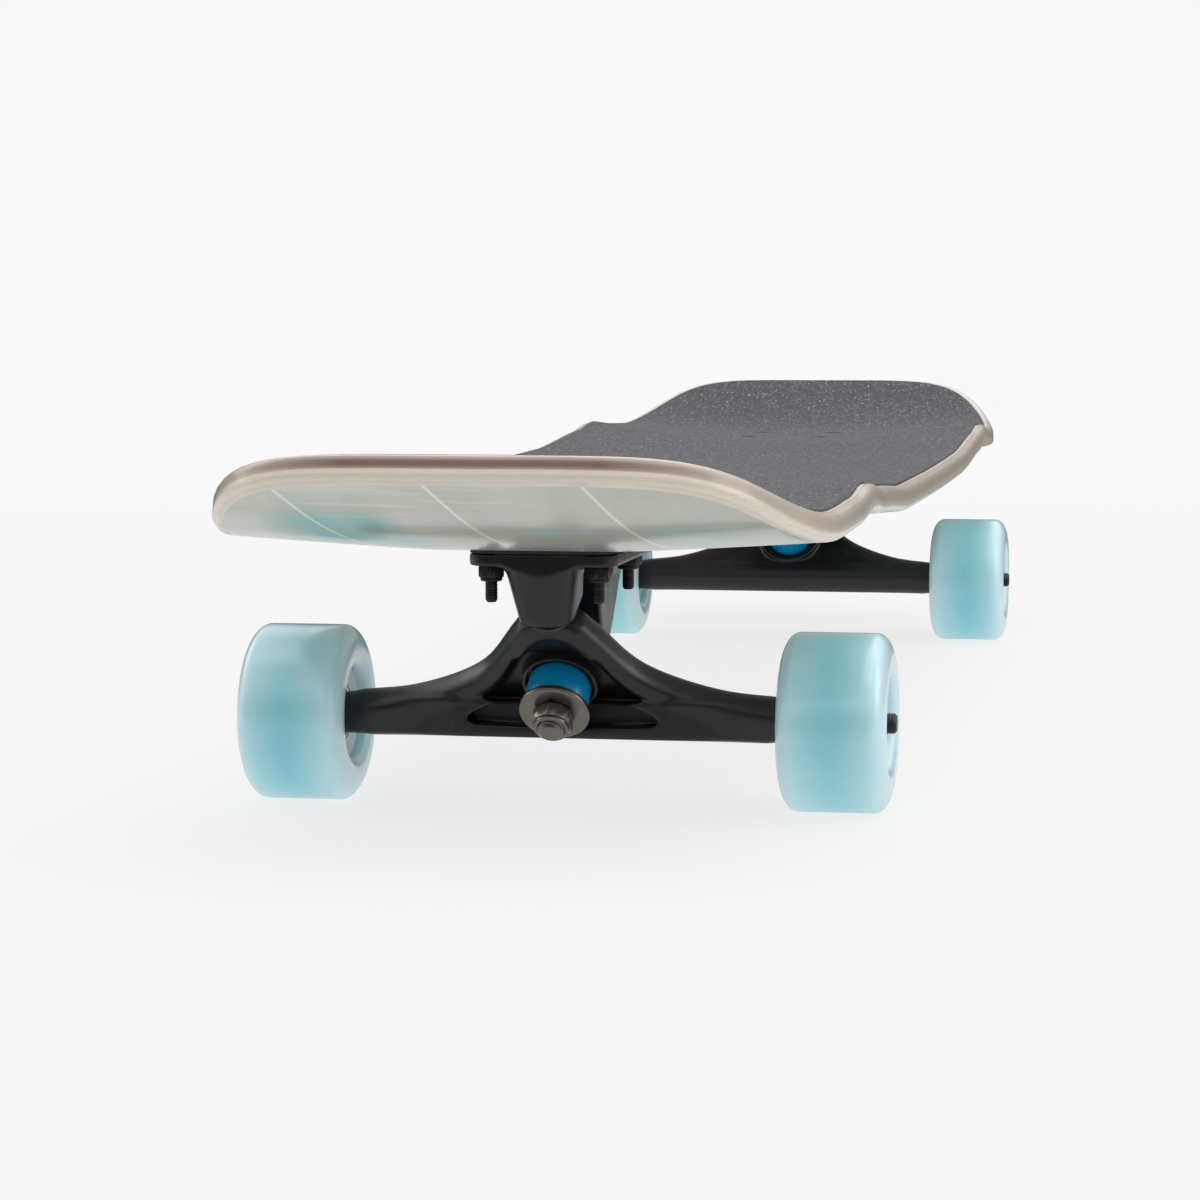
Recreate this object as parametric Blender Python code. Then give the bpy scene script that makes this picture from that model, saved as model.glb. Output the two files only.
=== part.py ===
"""Skateboard with kick ends, reverse-kingpin trucks and soft wheels, at rest on the ground.

+X runs to the nose, +Y across the board and +Z up, with Z = 0 on the ground. Each truck is laid
out in a frame of its own whose origin is on the ground under the axle and whose +X runs outwards,
so the tail truck is the nose truck turned half a turn.
"""

import math

import bmesh
import bpy
from mathutils import Euler, Vector

# Everything is in metres.
GAP = 0.0003  # left between two pieces that touch

# Board
WHEELBASE = 0.660
OUTLINE_LENGTH = 1.006  # along the upper face; the kicked ends carry the lower face a little further
OUTLINE_WIDTH = 0.2323
DECK_THICKNESS = 0.011
DECK_UNDERSIDE = 0.1055  # over the trucks
GRIP_THICKNESS = 0.0009
GRIP_INSET = 0.0015
EDGE_ROUND = 0.0035
ROCKER = 0.0055  # how far the middle hangs below the truck mountings
ROCKER_FROM, ROCKER_TO = 0.140, 0.282
KICK_START, KICK_BLEND, KICK_SLOPE = 0.393, 0.085, math.tan(math.radians(24.3))
CORNER_START = 0.325  # where the outline leaves its straight sides
SIDE_POWER, TIP_POWER = 5.8, 2.55  # roundness of the outline at the ends
# Height of the rails over the centre line, by distance from the middle; the third is the wheel flare.
CONCAVE = ((0.0, 0.0052), (0.257, 0.0066), (0.301, 0.0096), (0.343, 0.0064), (0.401, 0.0049), (0.503, 0.0))
CONCAVE_POWER, FLAT_HALF = 1.15, 0.034  # the middle of the board is flat across

# Trucks
AXLE_HEIGHT = 0.035
AXLE_RADIUS, AXLE_HALF = 0.0040, 0.1288
HANGER_HALF, HANGER_END_RADIUS = 0.090, 0.00825
KINGPIN_ANGLE = math.radians(40)  # below the horizontal, outwards
SEAT_X, SEAT_Z = 0.0134, 0.0532  # middle of the hanger's bushing seat
SEAT_HALF = 0.0040  # half the hanger's thickness between the bushings
RING_RADIUS, RING_HALF = 0.0170, 0.0070
SILL_LOW, SILL_HIGH = 0.0277, 0.0427  # the bar's flat front, which holds the pocket
POCKET_FLOOR, POCKET_LOW, POCKET_HIGH = 0.0050, 0.0327, 0.0412
# Middle line of an arm: distance across, height along the pivot's axis, radius
ARM = (
    (0.0790, -0.0210, 0.0062),
    (0.0630, -0.0174, 0.0062),
    (0.0510, -0.0132, 0.0060),
    (0.0405, -0.0082, 0.0058),
    (0.0328, -0.0032, 0.0056),
    (0.0264, 0.0030, 0.0052),
    (0.0220, 0.0090, 0.0051),
    (0.0183, 0.0150, 0.0051),
    (0.0142, 0.0210, 0.0053),
    (0.0090, 0.0270, 0.0056),
)
BUSHING_RADIUS, BUSHING_HEIGHT = 0.0125, 0.0150
WASHER_RADIUS, WASHER_THICKNESS = 0.0137, 0.0016
KINGPIN_RADIUS = 0.0050
NUT_RADIUS, NUT_HEIGHT = 0.0083, 0.0078
PLATE_TOP, PLATE_THICKNESS = 0.1028, 0.0045
PLATE_IN, PLATE_OUT, PLATE_HALF_WIDTH = -0.042, 0.056, 0.0285
CUP_MOUTH, CUP_DEPTH, CUP_RADIUS = 0.0350, 0.0125, 0.0086
PIVOT_RADIUS = 0.0058
BLOCK_HALF_WIDTH = 0.0140  # of the block that holds the kingpin
BOLT_XS, BOLT_Y = (-0.017, 0.046), 0.02065
BOLT_RADIUS, BOLT_HEAD_RADIUS, BOLT_TIP = 0.0024, 0.0046, 0.0840
LOCKNUT_RADIUS, LOCKNUT_HEIGHT = 0.0055, 0.0060

# Wheels
WHEEL_RADIUS, WHEEL_WIDTH, TREAD_WIDTH = 0.035, 0.0425, 0.0290
WHEEL_Y = 0.106
BEARING_RADIUS, BEARING_WIDTH, SPACER_WIDTH = 0.0110, 0.0070, 0.0100
BEARING_CENTRE = 0.1032  # middle of the two bearings
AXLE_NUT_RADIUS, AXLE_NUT_HEIGHT = 0.0075, 0.0066

K = Vector((math.cos(KINGPIN_ANGLE), 0, -math.sin(KINGPIN_ANGLE)))  # along the kingpin, downwards
P = Vector((math.sin(KINGPIN_ANGLE), 0, math.cos(KINGPIN_ANGLE)))  # along the pivot, upwards
SEAT = Vector((SEAT_X, 0, SEAT_Z))
ALONG_K = (0, math.pi / 2 + KINGPIN_ANGLE, 0)  # turns local Z onto K
ALONG_P = (0, KINGPIN_ANGLE, 0)  # turns local Z onto P
ALONG_Y = (-math.pi / 2, 0, 0)  # turns local Z onto Y


def clear_scene():
    for obj in list(bpy.data.objects):
        bpy.data.objects.remove(obj, do_unlink=True)


def material(name, colour, roughness, metallic):
    made = bpy.data.materials.new(name)
    made.use_nodes = True
    shader = made.node_tree.nodes["Principled BSDF"]
    shader.inputs["Base Color"].default_value = (*colour, 1)
    shader.inputs["Roughness"].default_value = roughness
    shader.inputs["Metallic"].default_value = metallic
    made.diffuse_color = (*colour, 1)
    return made


def add_object(name, bm, made_of, parent=None, location=(0, 0, 0), rotation=(0, 0, 0), sharp=35):
    bmesh.ops.recalc_face_normals(bm, faces=bm.faces)
    mesh = bpy.data.meshes.new(name)
    bm.to_mesh(mesh)
    bm.free()
    mesh.shade_smooth()
    mesh.set_sharp_from_angle(angle=math.radians(sharp))
    mesh.materials.append(made_of)
    obj = bpy.data.objects.new(name, mesh)
    bpy.context.scene.collection.objects.link(obj)
    obj.parent = parent
    obj.location = location
    obj.rotation_euler = rotation
    return obj


def helper(obj):
    """Marks a shape that is only joined to or cut from others."""
    obj.hide_render = True
    obj.display_type = "WIRE"
    return obj


def combine(target, operation, shapes):
    for shape in shapes:
        modifier = target.modifiers.new(operation.title(), "BOOLEAN")
        modifier.operation = operation
        modifier.solver = "EXACT"
        modifier.object = helper(shape)
    return target


def lathe(profile, segments, closed=False):
    """Turns (radius, height) points about Z. An open profile starts and ends on the axis."""
    bm = bmesh.new()
    rings = []
    for radius, height in profile:
        if radius < 1e-9:
            rings.append([bm.verts.new((0, 0, height))])
            continue
        turns = (2 * math.pi * i / segments for i in range(segments))
        rings.append([bm.verts.new((radius * math.cos(a), radius * math.sin(a), height)) for a in turns])
    pairs = list(zip(rings, rings[1:]))
    if closed:
        pairs.append((rings[-1], rings[0]))
    for lower, upper in pairs:
        for i in range(segments):
            corners = [lower[i % len(lower)], lower[(i + 1) % len(lower)]]
            corners += [upper[(i + 1) % len(upper)], upper[i % len(upper)]]
            bm.faces.new(list(dict.fromkeys(corners)))
    return bm


def tube(path, radii, segments):
    """A round bar through the points of the path, with a radius at each point."""
    bm = bmesh.new()
    rings = []
    for i, point in enumerate(path):
        along = (path[min(i + 1, len(path) - 1)] - path[max(i - 1, 0)]).normalized()
        side = along.cross(K).normalized()
        up = side.cross(along)
        turns = (2 * math.pi * j / segments for j in range(segments))
        rings.append([bm.verts.new(point + radii[i] * (math.cos(a) * side + math.sin(a) * up)) for a in turns])
    for first, second in zip(rings, rings[1:]):
        for j in range(segments):
            nxt = (j + 1) % segments
            bm.faces.new((first[j], first[nxt], second[nxt], second[j]))
    bm.faces.new(rings[0])
    bm.faces.new(rings[-1])
    return bm


def prism(outline, low, high):
    """The closed outline of (a, b) points, raised along Z from low to high."""
    bm = bmesh.new()
    bottom = [bm.verts.new((a, b, low)) for a, b in outline]
    top = [bm.verts.new((a, b, high)) for a, b in outline]
    bm.faces.new(bottom)
    bm.faces.new(top)
    for i in range(len(outline)):
        nxt = (i + 1) % len(outline)
        bm.faces.new((bottom[i], bottom[nxt], top[nxt], top[i]))
    return bm


def side_prism(outline, half_width):
    """An outline of (x, z) points, raised to both sides of the XZ plane."""
    bm = prism(outline, -half_width, half_width)
    for vert in bm.verts:
        x, z, y = vert.co
        vert.co = (x, y, z)
    return bm


def rounded_rectangle(x0, x1, half_width, radius, steps=4):
    outline = []
    corners = ((x1, half_width, 0), (x0, half_width, 1), (x0, -half_width, 2), (x1, -half_width, 3))
    for x, y, quarter in corners:
        centre_x = x - math.copysign(radius, x - (x0 + x1) / 2)
        centre_y = y - math.copysign(radius, y)
        for i in range(steps + 1):
            a = math.pi / 2 * (quarter + i / steps)
            outline.append((centre_x + radius * math.cos(a), centre_y + radius * math.sin(a)))
    return outline


def hexagon(radius):
    return [(radius * math.cos(math.pi / 3 * i), radius * math.sin(math.pi / 3 * i)) for i in range(6)]


def bored(bm_outline, hole_radius, low, high, segments=16):
    """A prism with a round hole through it, as one ring of quads and its two ends."""
    count = len(bm_outline)
    bm = bmesh.new()
    steps = segments // count
    loops = []
    for z in (low, high):
        outer, inner = [], []
        for i in range(count):
            a, b = Vector(bm_outline[i]), Vector(bm_outline[(i + 1) % count])
            for j in range(steps):
                at = a.lerp(b, j / steps)
                outer.append(bm.verts.new((*at, z)))
                inner.append(bm.verts.new((*(at.normalized() * hole_radius), z)))
        loops.append((outer, inner))
    (low_out, low_in), (high_out, high_in) = loops
    total = len(low_out)
    for i in range(total):
        nxt = (i + 1) % total
        bm.faces.new((low_out[i], low_out[nxt], high_out[nxt], high_out[i]))
        bm.faces.new((low_in[i], high_in[i], high_in[nxt], low_in[nxt]))
        bm.faces.new((low_out[i], low_in[i], low_in[nxt], low_out[nxt]))
        bm.faces.new((high_out[i], high_out[nxt], high_in[nxt], high_in[i]))
    return bm


# The board's surface


def smooth(t):
    t = min(max(t, 0.0), 1.0)
    return t * t * (3 - 2 * t)


def rail_height(s):
    for (s0, h0), (s1, h1) in zip(CONCAVE, CONCAVE[1:]):
        if s <= s1:
            return h0 + (h1 - h0) * smooth((s - s0) / (s1 - s0))
    return CONCAVE[-1][1]


def kick_height(s):
    beyond = s - KICK_START
    if beyond <= 0:
        return 0.0
    if beyond < KICK_BLEND:
        return KICK_SLOPE * beyond * beyond / (2 * KICK_BLEND)
    return KICK_SLOPE * (beyond - KICK_BLEND / 2)


def board_height(x, y):
    """Height of the bare deck's upper face."""
    s = abs(x)
    middle = DECK_UNDERSIDE + DECK_THICKNESS - ROCKER * (1 - smooth((s - ROCKER_FROM) / (ROCKER_TO - ROCKER_FROM)))
    across = max(abs(y) - FLAT_HALF, 0.0) / (OUTLINE_WIDTH / 2 - FLAT_HALF)
    bow = rail_height(s) * across**CONCAVE_POWER
    return middle + bow + kick_height(s)


def board_point(x, y, drop):
    """The point that lies drop below the upper face, square to it."""
    step = 1e-4
    slope_x = (board_height(x + step, y) - board_height(x - step, y)) / (2 * step)
    slope_y = (board_height(x, y + step) - board_height(x, y - step)) / (2 * step)
    normal = Vector((-slope_x, -slope_y, 1)).normalized()
    return Vector((x, y, board_height(x, y))) - drop * normal


ROWS = (0.0, 0.09, 0.15, 0.19, 0.224, 0.257, 0.279, 0.301, 0.314)
CORNER_TURNS = (0.0, 0.05, 0.10, 0.17, 0.24, 0.33, 0.45, 0.58)
TIP_SHARES = (1.0, 0.93, 0.84, 0.73, 0.61, 0.49, 0.38, 0.28, 0.0)  # columns, as parts of the half width


def corner_point(turn, inset):
    half, tip = OUTLINE_WIDTH / 2 - inset, OUTLINE_LENGTH / 2 - inset
    x = CORNER_START + (tip - CORNER_START) * max(math.sin(turn), 0) ** (2 / TIP_POWER)
    y = half * max(math.cos(turn), 0) ** (2 / SIDE_POWER)
    return x, 0.0 if y < 1e-6 else y


def plan_grid(inset):
    """Rows of (x, y) points over the whole outline; its border is the outline drawn in by the inset."""
    side = [(x, OUTLINE_WIDTH / 2 - inset) for x in ROWS]
    side += [corner_point(turn, inset) for turn in CORNER_TURNS]
    corner_share = math.cos(CORNER_TURNS[-1]) ** (2 / SIDE_POWER)
    tip_turns = (math.acos((share * corner_share) ** (SIDE_POWER / 2)) for share in TIP_SHARES)
    tip = [corner_point(turn, inset) for turn in tip_turns]
    tip += [(x, -y) for x, y in reversed(tip[:-1])]
    corner_x, corner_y = tip[0]
    half_rows = []
    for x, y in side:
        pull = smooth((x - 0.30) / (corner_x - 0.30))
        half_rows.append([(x + pull * (tx - corner_x), y * ty / corner_y) for tx, ty in tip])
    tail = [[(-x, y) for x, y in row] for row in reversed(half_rows[1:])]
    return tail + half_rows


def border(rows):
    loop = list(rows[0]) + [row[-1] for row in rows[1:]]
    return loop + list(reversed(rows[-1][:-1])) + [row[0] for row in reversed(rows[1:-1])]


def board_sheet(layers):
    """A closed sheet that follows the board. The layers are (inset, drop), from the upper face to the lower."""
    bm = bmesh.new()
    grids = {}
    for index in (0, len(layers) - 1):
        inset, drop = layers[index]
        grids[index] = [[bm.verts.new(board_point(x, y, drop)) for x, y in row] for row in plan_grid(inset)]
    for grid in grids.values():
        for row, following in zip(grid, grid[1:]):
            for j in range(len(row) - 1):
                bm.faces.new((row[j], row[j + 1], following[j + 1], following[j]))
    loops = []
    for index, (inset, drop) in enumerate(layers):
        if index in grids:
            loops.append(border(grids[index]))
            continue
        loops.append([bm.verts.new(board_point(x, y, drop)) for x, y in border(plan_grid(inset))])
    for upper, lower in zip(loops, loops[1:]):
        for i in range(len(upper)):
            nxt = (i + 1) % len(upper)
            bm.faces.new((upper[i], upper[nxt], lower[nxt], lower[i]))
    bmesh.ops.triangulate(bm, faces=bm.faces)
    return bm


def many(profile, segments, places):
    """The same turned shape at each (x, y) place, as one mesh of cutters."""
    joined = bmesh.new()
    for x, y in places:
        bm = lathe(profile, segments)
        bmesh.ops.translate(bm, verts=bm.verts, vec=(x, y, 0))
        mesh = bpy.data.meshes.new("cutter")
        bm.to_mesh(mesh)
        bm.free()
        joined.from_mesh(mesh)
        bpy.data.meshes.remove(mesh)
    return joined


def board_bolt_places():
    return [(end * (WHEELBASE / 2 + x), y) for end in (1, -1) for x in BOLT_XS for y in (BOLT_Y, -BOLT_Y)]


def add_board(wood, grit):
    deck_top = DECK_UNDERSIDE + DECK_THICKNESS
    sink = deck_top - 0.0026
    layers = [(EDGE_ROUND, 0.0), (0.0, EDGE_ROUND), (0.0, DECK_THICKNESS - EDGE_ROUND), (EDGE_ROUND, DECK_THICKNESS)]
    deck = add_object("deck", board_sheet(layers), wood, sharp=50)
    bore = BOLT_RADIUS + 0.0004
    wide = BOLT_HEAD_RADIUS + 0.0004
    holes = [(0, 0.09), (bore, 0.09), (bore, sink), (wide, sink + wide - bore), (wide, 0.13), (0, 0.13)]
    combine(deck, "DIFFERENCE", [add_object("deck_bores", many(holes, 12, board_bolt_places()), wood)])

    base = GAP + GRIP_THICKNESS
    inset = EDGE_ROUND + GRIP_INSET
    grip = add_object("grip_tape", board_sheet([(inset, -base), (inset, -GAP)]), grit, sharp=50)
    holes = [(0, 0.10), (wide, 0.10), (wide, 0.13), (0, 0.13)]
    combine(grip, "DIFFERENCE", [add_object("grip_bores", many(holes, 12, board_bolt_places()), grit)])


# Trucks


def add_truck_base(end, frame, made_of):
    plate_bottom = PLATE_TOP - PLATE_THICKNESS
    outline = rounded_rectangle(PLATE_IN, PLATE_OUT, PLATE_HALF_WIDTH, 0.009)
    base = add_object(f"{end}_baseplate", prism(outline, plate_bottom, PLATE_TOP), made_of["cast"], frame)

    seat = SEAT - (SEAT_HALF + BUSHING_HEIGHT + WASHER_THICKNESS + 3 * GAP) * K
    low, high = seat - 0.0145 * P, seat + 0.0140 * P
    block = [(-0.039, 0.099), (-0.039, 0.093), (low.x - 0.009, low.z + 0.0065), (low.x, low.z)]
    block += [(high.x, high.z), (0.015, 0.090), (0.022, 0.099)]
    boss = add_object(f"{end}_kingpin_block", side_prism(block, BLOCK_HALF_WIDTH), made_of["cast"], frame)
    cup = [(0, CUP_MOUTH), (0.0118, CUP_MOUTH), (0.0129, CUP_MOUTH + 0.0015), (0.0140, 0.052)]
    cup += [(0.0146, 0.066), (0, 0.066)]
    housing = add_object(f"{end}_pivot_housing", lathe(cup, 28), made_of["cast"], frame, SEAT, ALONG_P)
    combine(base, "UNION", [boss, housing])

    head_at = 0.0430  # from the seat back to the kingpin's head
    bore = KINGPIN_RADIUS + GAP
    shaft = [(0, 0.0), (bore, 0.0), (bore, head_at), (0.0093, head_at), (0.0093, 0.075), (0, 0.075)]
    kingpin_bore = add_object(
        f"{end}_kingpin_bore", lathe(shaft, 20), made_of["cast"], frame, SEAT, (0, KINGPIN_ANGLE - math.pi / 2, 0)
    )
    socket = [(0, 0.020), (CUP_RADIUS, 0.020), (CUP_RADIUS, CUP_MOUTH + CUP_DEPTH), (0, CUP_MOUTH + CUP_DEPTH)]
    cup_bore = add_object(f"{end}_cup_bore", lathe(socket, 20), made_of["cast"], frame, SEAT, ALONG_P)
    over = prism(rounded_rectangle(-0.08, 0.10, 0.05, 0.005, 1), PLATE_TOP, 0.125)
    trim = add_object(f"{end}_plate_trim", over, made_of["cast"], frame)
    beyond = prism(rounded_rectangle(PLATE_OUT, PLATE_OUT + 0.06, 0.05, 0.005, 1), 0.050, 0.0995)
    front = add_object(f"{end}_plate_front", beyond, made_of["cast"], frame)
    hole = BOLT_RADIUS + 0.0004
    through = [(0, 0.09), (hole, 0.09), (hole, 0.108), (0, 0.108)]
    places = [(x, y) for x in BOLT_XS for y in (BOLT_Y, -BOLT_Y)]
    bolts = add_object(f"{end}_plate_bores", many(through, 12, places), made_of["cast"], frame)
    combine(base, "DIFFERENCE", [trim, front, kingpin_bore, cup_bore, bolts])

    pad = add_object(
        f"{end}_riser_pad",
        prism(outline, PLATE_TOP + GAP, DECK_UNDERSIDE - GAP),
        made_of["rubber"],
        frame,
    )
    pad_bores = add_object(f"{end}_pad_bores", many(through, 12, places), made_of["rubber"], frame)
    combine(pad, "DIFFERENCE", [pad_bores])

    outer, inner = CUP_RADIUS - GAP, PIVOT_RADIUS + GAP
    first, last = CUP_MOUTH - 0.0012, CUP_MOUTH + CUP_DEPTH - GAP
    cup = [(0, last), (outer, last), (outer, CUP_MOUTH - GAP), (outer + 0.0018, CUP_MOUTH - GAP)]
    cup += [(outer + 0.0018, first), (inner, first), (inner, last - 0.0050), (0, last - 0.0022)]
    add_object(f"{end}_pivot_cup", lathe(cup, 20), made_of["cup"], frame, SEAT, ALONG_P)


def add_kingpin_stack(end, frame, made_of):
    """The kingpin and what it clamps. Local Z runs down the kingpin from the hanger's seat."""
    bore = KINGPIN_RADIUS + GAP
    near = SEAT_HALF + GAP
    far = near + BUSHING_HEIGHT
    washer_near, washer_far = far + GAP, far + GAP + WASHER_THICKNESS
    waist = BUSHING_RADIUS - 0.0007
    rise = 0.0012
    for name, sign in (("boardside", -1), ("roadside", 1)):
        bushing = [(bore, near), (waist, near), (BUSHING_RADIUS, near + rise), (BUSHING_RADIUS, far - rise)]
        bushing += [(waist, far), (bore, far)]
        bushing = [(r, sign * z) for r, z in bushing]
        add_object(f"{end}_{name}_bushing", lathe(bushing, 24, True), made_of["urethane"], frame, SEAT, ALONG_K)
        washer = [(bore, washer_near), (WASHER_RADIUS, washer_near), (WASHER_RADIUS, washer_far), (bore, washer_far)]
        washer = [(r, sign * z) for r, z in washer]
        add_object(f"{end}_{name}_washer", lathe(washer, 24, True), made_of["steel"], frame, SEAT, ALONG_K)
    nut_near = washer_far + GAP
    nut = bored(hexagon(NUT_RADIUS), bore, nut_near, nut_near + NUT_HEIGHT, 18)
    add_object(f"{end}_kingpin_nut", nut, made_of["steel"], frame, SEAT, ALONG_K, 30)
    tip = nut_near + NUT_HEIGHT + 0.0022
    head = -0.0430 - GAP
    shaft = [(0, head - 0.0062), (0.0085, head - 0.0062), (0.0090, head - 0.0050), (0.0090, head)]
    shaft += [(KINGPIN_RADIUS, head), (KINGPIN_RADIUS, tip - 0.0010), (KINGPIN_RADIUS - 0.0010, tip), (0, tip)]
    add_object(f"{end}_kingpin", lathe(shaft, 18), made_of["steel"], frame, SEAT, ALONG_K)


def hanger_point(y, along_pivot, along_kingpin):
    return Vector((0, y, 0)) + along_pivot * P + along_kingpin * K


def add_hanger(end, frame, made_of):
    """The hanger's origin is the middle of its seat, which lies on the steering axis."""
    cast = made_of["cast"]
    axle = Vector((0, 0, AXLE_HEIGHT)) - SEAT
    end_face, r = HANGER_HALF, HANGER_END_RADIUS
    bar = [(0, -end_face), (r - 0.0008, -end_face), (r, 0.0008 - end_face), (r, -0.060), (r, 0.060)]
    bar += [(r, end_face - 0.0008), (r - 0.0008, end_face), (0, end_face)]
    turned = lathe(bar, 20)
    bmesh.ops.rotate(turned, verts=turned.verts, matrix=Euler(ALONG_Y).to_matrix())
    bmesh.ops.translate(turned, verts=turned.verts, vec=axle)
    hanger = add_object(f"{end}_hanger", turned, cast, frame, SEAT)

    web = [(0.080, -0.023), (0.050, -0.013), (0.030, 0.0), (0.020, 0.015), (0.011, 0.026)]
    web = [(-q, y) for y, q in web] + [(-q, -y) for y, q in reversed(web)]
    shapes = [add_object(f"{end}_hanger_web", prism(web, -SEAT_HALF - 0.001, SEAT_HALF + 0.001), cast, frame, SEAT, ALONG_K)]
    for side in (1, -1):
        path = [hanger_point(side * y, q, 0.0006) for y, q, _ in ARM]
        rib = tube(path, [radius for _, _, radius in ARM], 8)
        shapes.append(add_object(f"{end}_hanger_rib_{'left' if side > 0 else 'right'}", rib, cast, frame, SEAT))
    ring = [(0, -RING_HALF), (RING_RADIUS, -RING_HALF), (RING_RADIUS, RING_HALF), (0, RING_HALF)]
    shapes.append(add_object(f"{end}_hanger_ring", lathe(ring, 28), cast, frame, SEAT, ALONG_K))
    arm = [(0, 0.010), (0.0105, 0.010), (0.0100, 0.0270), (0.0086, 0.0322), (PIVOT_RADIUS, 0.0332)]
    arm += [(PIVOT_RADIUS, 0.0400), (PIVOT_RADIUS * 0.72, 0.0425), (0, 0.0436)]
    shapes.append(add_object(f"{end}_hanger_pivot", lathe(arm, 20), cast, frame, SEAT, ALONG_P))
    sill = [(0.0154, 0.042), (0.0128, 0.050), (0.0085, 0.062), (0.0045, 0.080), (-0.0020, 0.080)]
    sill = [(x - SEAT_X, y) for x, y in sill] + [(x - SEAT_X, -y) for x, y in reversed(sill)]
    sill = prism(sill, SILL_LOW - SEAT_Z, SILL_HIGH - SEAT_Z)
    shapes.append(add_object(f"{end}_hanger_sill", sill, cast, frame, SEAT))
    combine(hanger, "UNION", shapes)

    recess = BUSHING_RADIUS + 0.0013
    seats = []
    for side in (1, -1):
        cup = [(0, side * SEAT_HALF), (recess, side * SEAT_HALF), (recess + 0.0008, side * 0.0300), (0, side * 0.0300)]
        seats.append(add_object(f"{end}_hanger_seat_{'under' if side > 0 else 'over'}", lathe(cup, 28), cast, frame, SEAT, ALONG_K))
    hole = [(0, -0.010), (0.0076, -0.010), (0.0076, 0.010), (0, 0.010)]
    seats.append(add_object(f"{end}_hanger_hole", lathe(hole, 20), cast, frame, SEAT, ALONG_K))
    pocket = [(x - SEAT_X, z - SEAT_Z) for x in (POCKET_FLOOR, 0.020) for z in (POCKET_LOW, POCKET_HIGH)]
    pocket = [pocket[0], pocket[1], pocket[3], pocket[2]]
    seats.append(add_object(f"{end}_hanger_pocket", side_prism(pocket, 0.0340), cast, frame, SEAT))
    bore = AXLE_RADIUS + GAP
    through = [(0, -0.1), (bore, -0.1), (bore, 0.1), (0, 0.1)]
    seats.append(add_object(f"{end}_axle_bore", lathe(through, 16), cast, frame, SEAT + axle, ALONG_Y))
    combine(hanger, "DIFFERENCE", seats)

    rod = [(0, -AXLE_HALF), (AXLE_RADIUS - 0.0008, -AXLE_HALF), (AXLE_RADIUS, 0.0008 - AXLE_HALF)]
    rod += [(r, -z) for r, z in reversed(rod)]
    add_object(f"{end}_axle", lathe(rod, 16), made_of["steel"], frame, (0, 0, AXLE_HEIGHT), ALONG_Y)


def add_mounting_bolts(end, frame, made_of):
    top = DECK_UNDERSIDE + DECK_THICKNESS + GAP + GRIP_THICKNESS - 0.0002
    cone = BOLT_HEAD_RADIUS - BOLT_RADIUS
    neck = DECK_UNDERSIDE + DECK_THICKNESS - 0.0022
    bolt = [(0, BOLT_TIP), (BOLT_RADIUS - 0.0006, BOLT_TIP), (BOLT_RADIUS, BOLT_TIP + 0.0006), (BOLT_RADIUS, neck)]
    bolt += [(BOLT_HEAD_RADIUS, neck + cone), (BOLT_HEAD_RADIUS, top), (0.0022, top), (0.0018, top - 0.0016), (0, top - 0.0016)]
    nut_top = PLATE_TOP - PLATE_THICKNESS - GAP
    number = 0
    for x in sorted(BOLT_XS, reverse=True):
        for y in (BOLT_Y, -BOLT_Y):
            number += 1
            add_object(f"{end}_bolt_{number}", lathe(bolt, 12), made_of["black_steel"], frame, (x, y, 0))
            nut = bored(hexagon(LOCKNUT_RADIUS), BOLT_RADIUS + GAP, nut_top - LOCKNUT_HEIGHT, nut_top, 12)
            add_object(f"{end}_locknut_{number}", nut, made_of["black_steel"], frame, (x, y, 0), sharp=30)


def wheel_profile():
    """The tyre's outline in (radius, distance from its middle towards the outside)."""
    half, tread = WHEEL_WIDTH / 2, TREAD_WIDTH / 2
    across = half - tread
    lip_low = WHEEL_RADIUS - 0.0105
    seat = BEARING_RADIUS + GAP
    middle = BEARING_CENTRE - WHEEL_Y
    shoulder = SPACER_WIDTH / 2
    outer = []
    for i in range(4):
        a = math.pi / 2 * i / 3
        outer.append((lip_low + 0.0105 * math.cos(a), tread + across * math.sin(a)))
    face = half - 0.0020
    outward = outer + [(0.0180, face), (0.0155, middle + 0.0130), (seat, middle + 0.0124)]
    outward += [(seat, middle + shoulder + GAP), (0.0095, middle + shoulder + GAP)]
    inward = [(r, -z) for r, z in outer] + [(0.0180, -face), (0.0155, middle - 0.0130)]
    inward += [(seat, middle - 0.0124), (seat, middle - shoulder - GAP), (0.0095, middle - shoulder - GAP)]
    return outward + list(reversed(inward))


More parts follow.
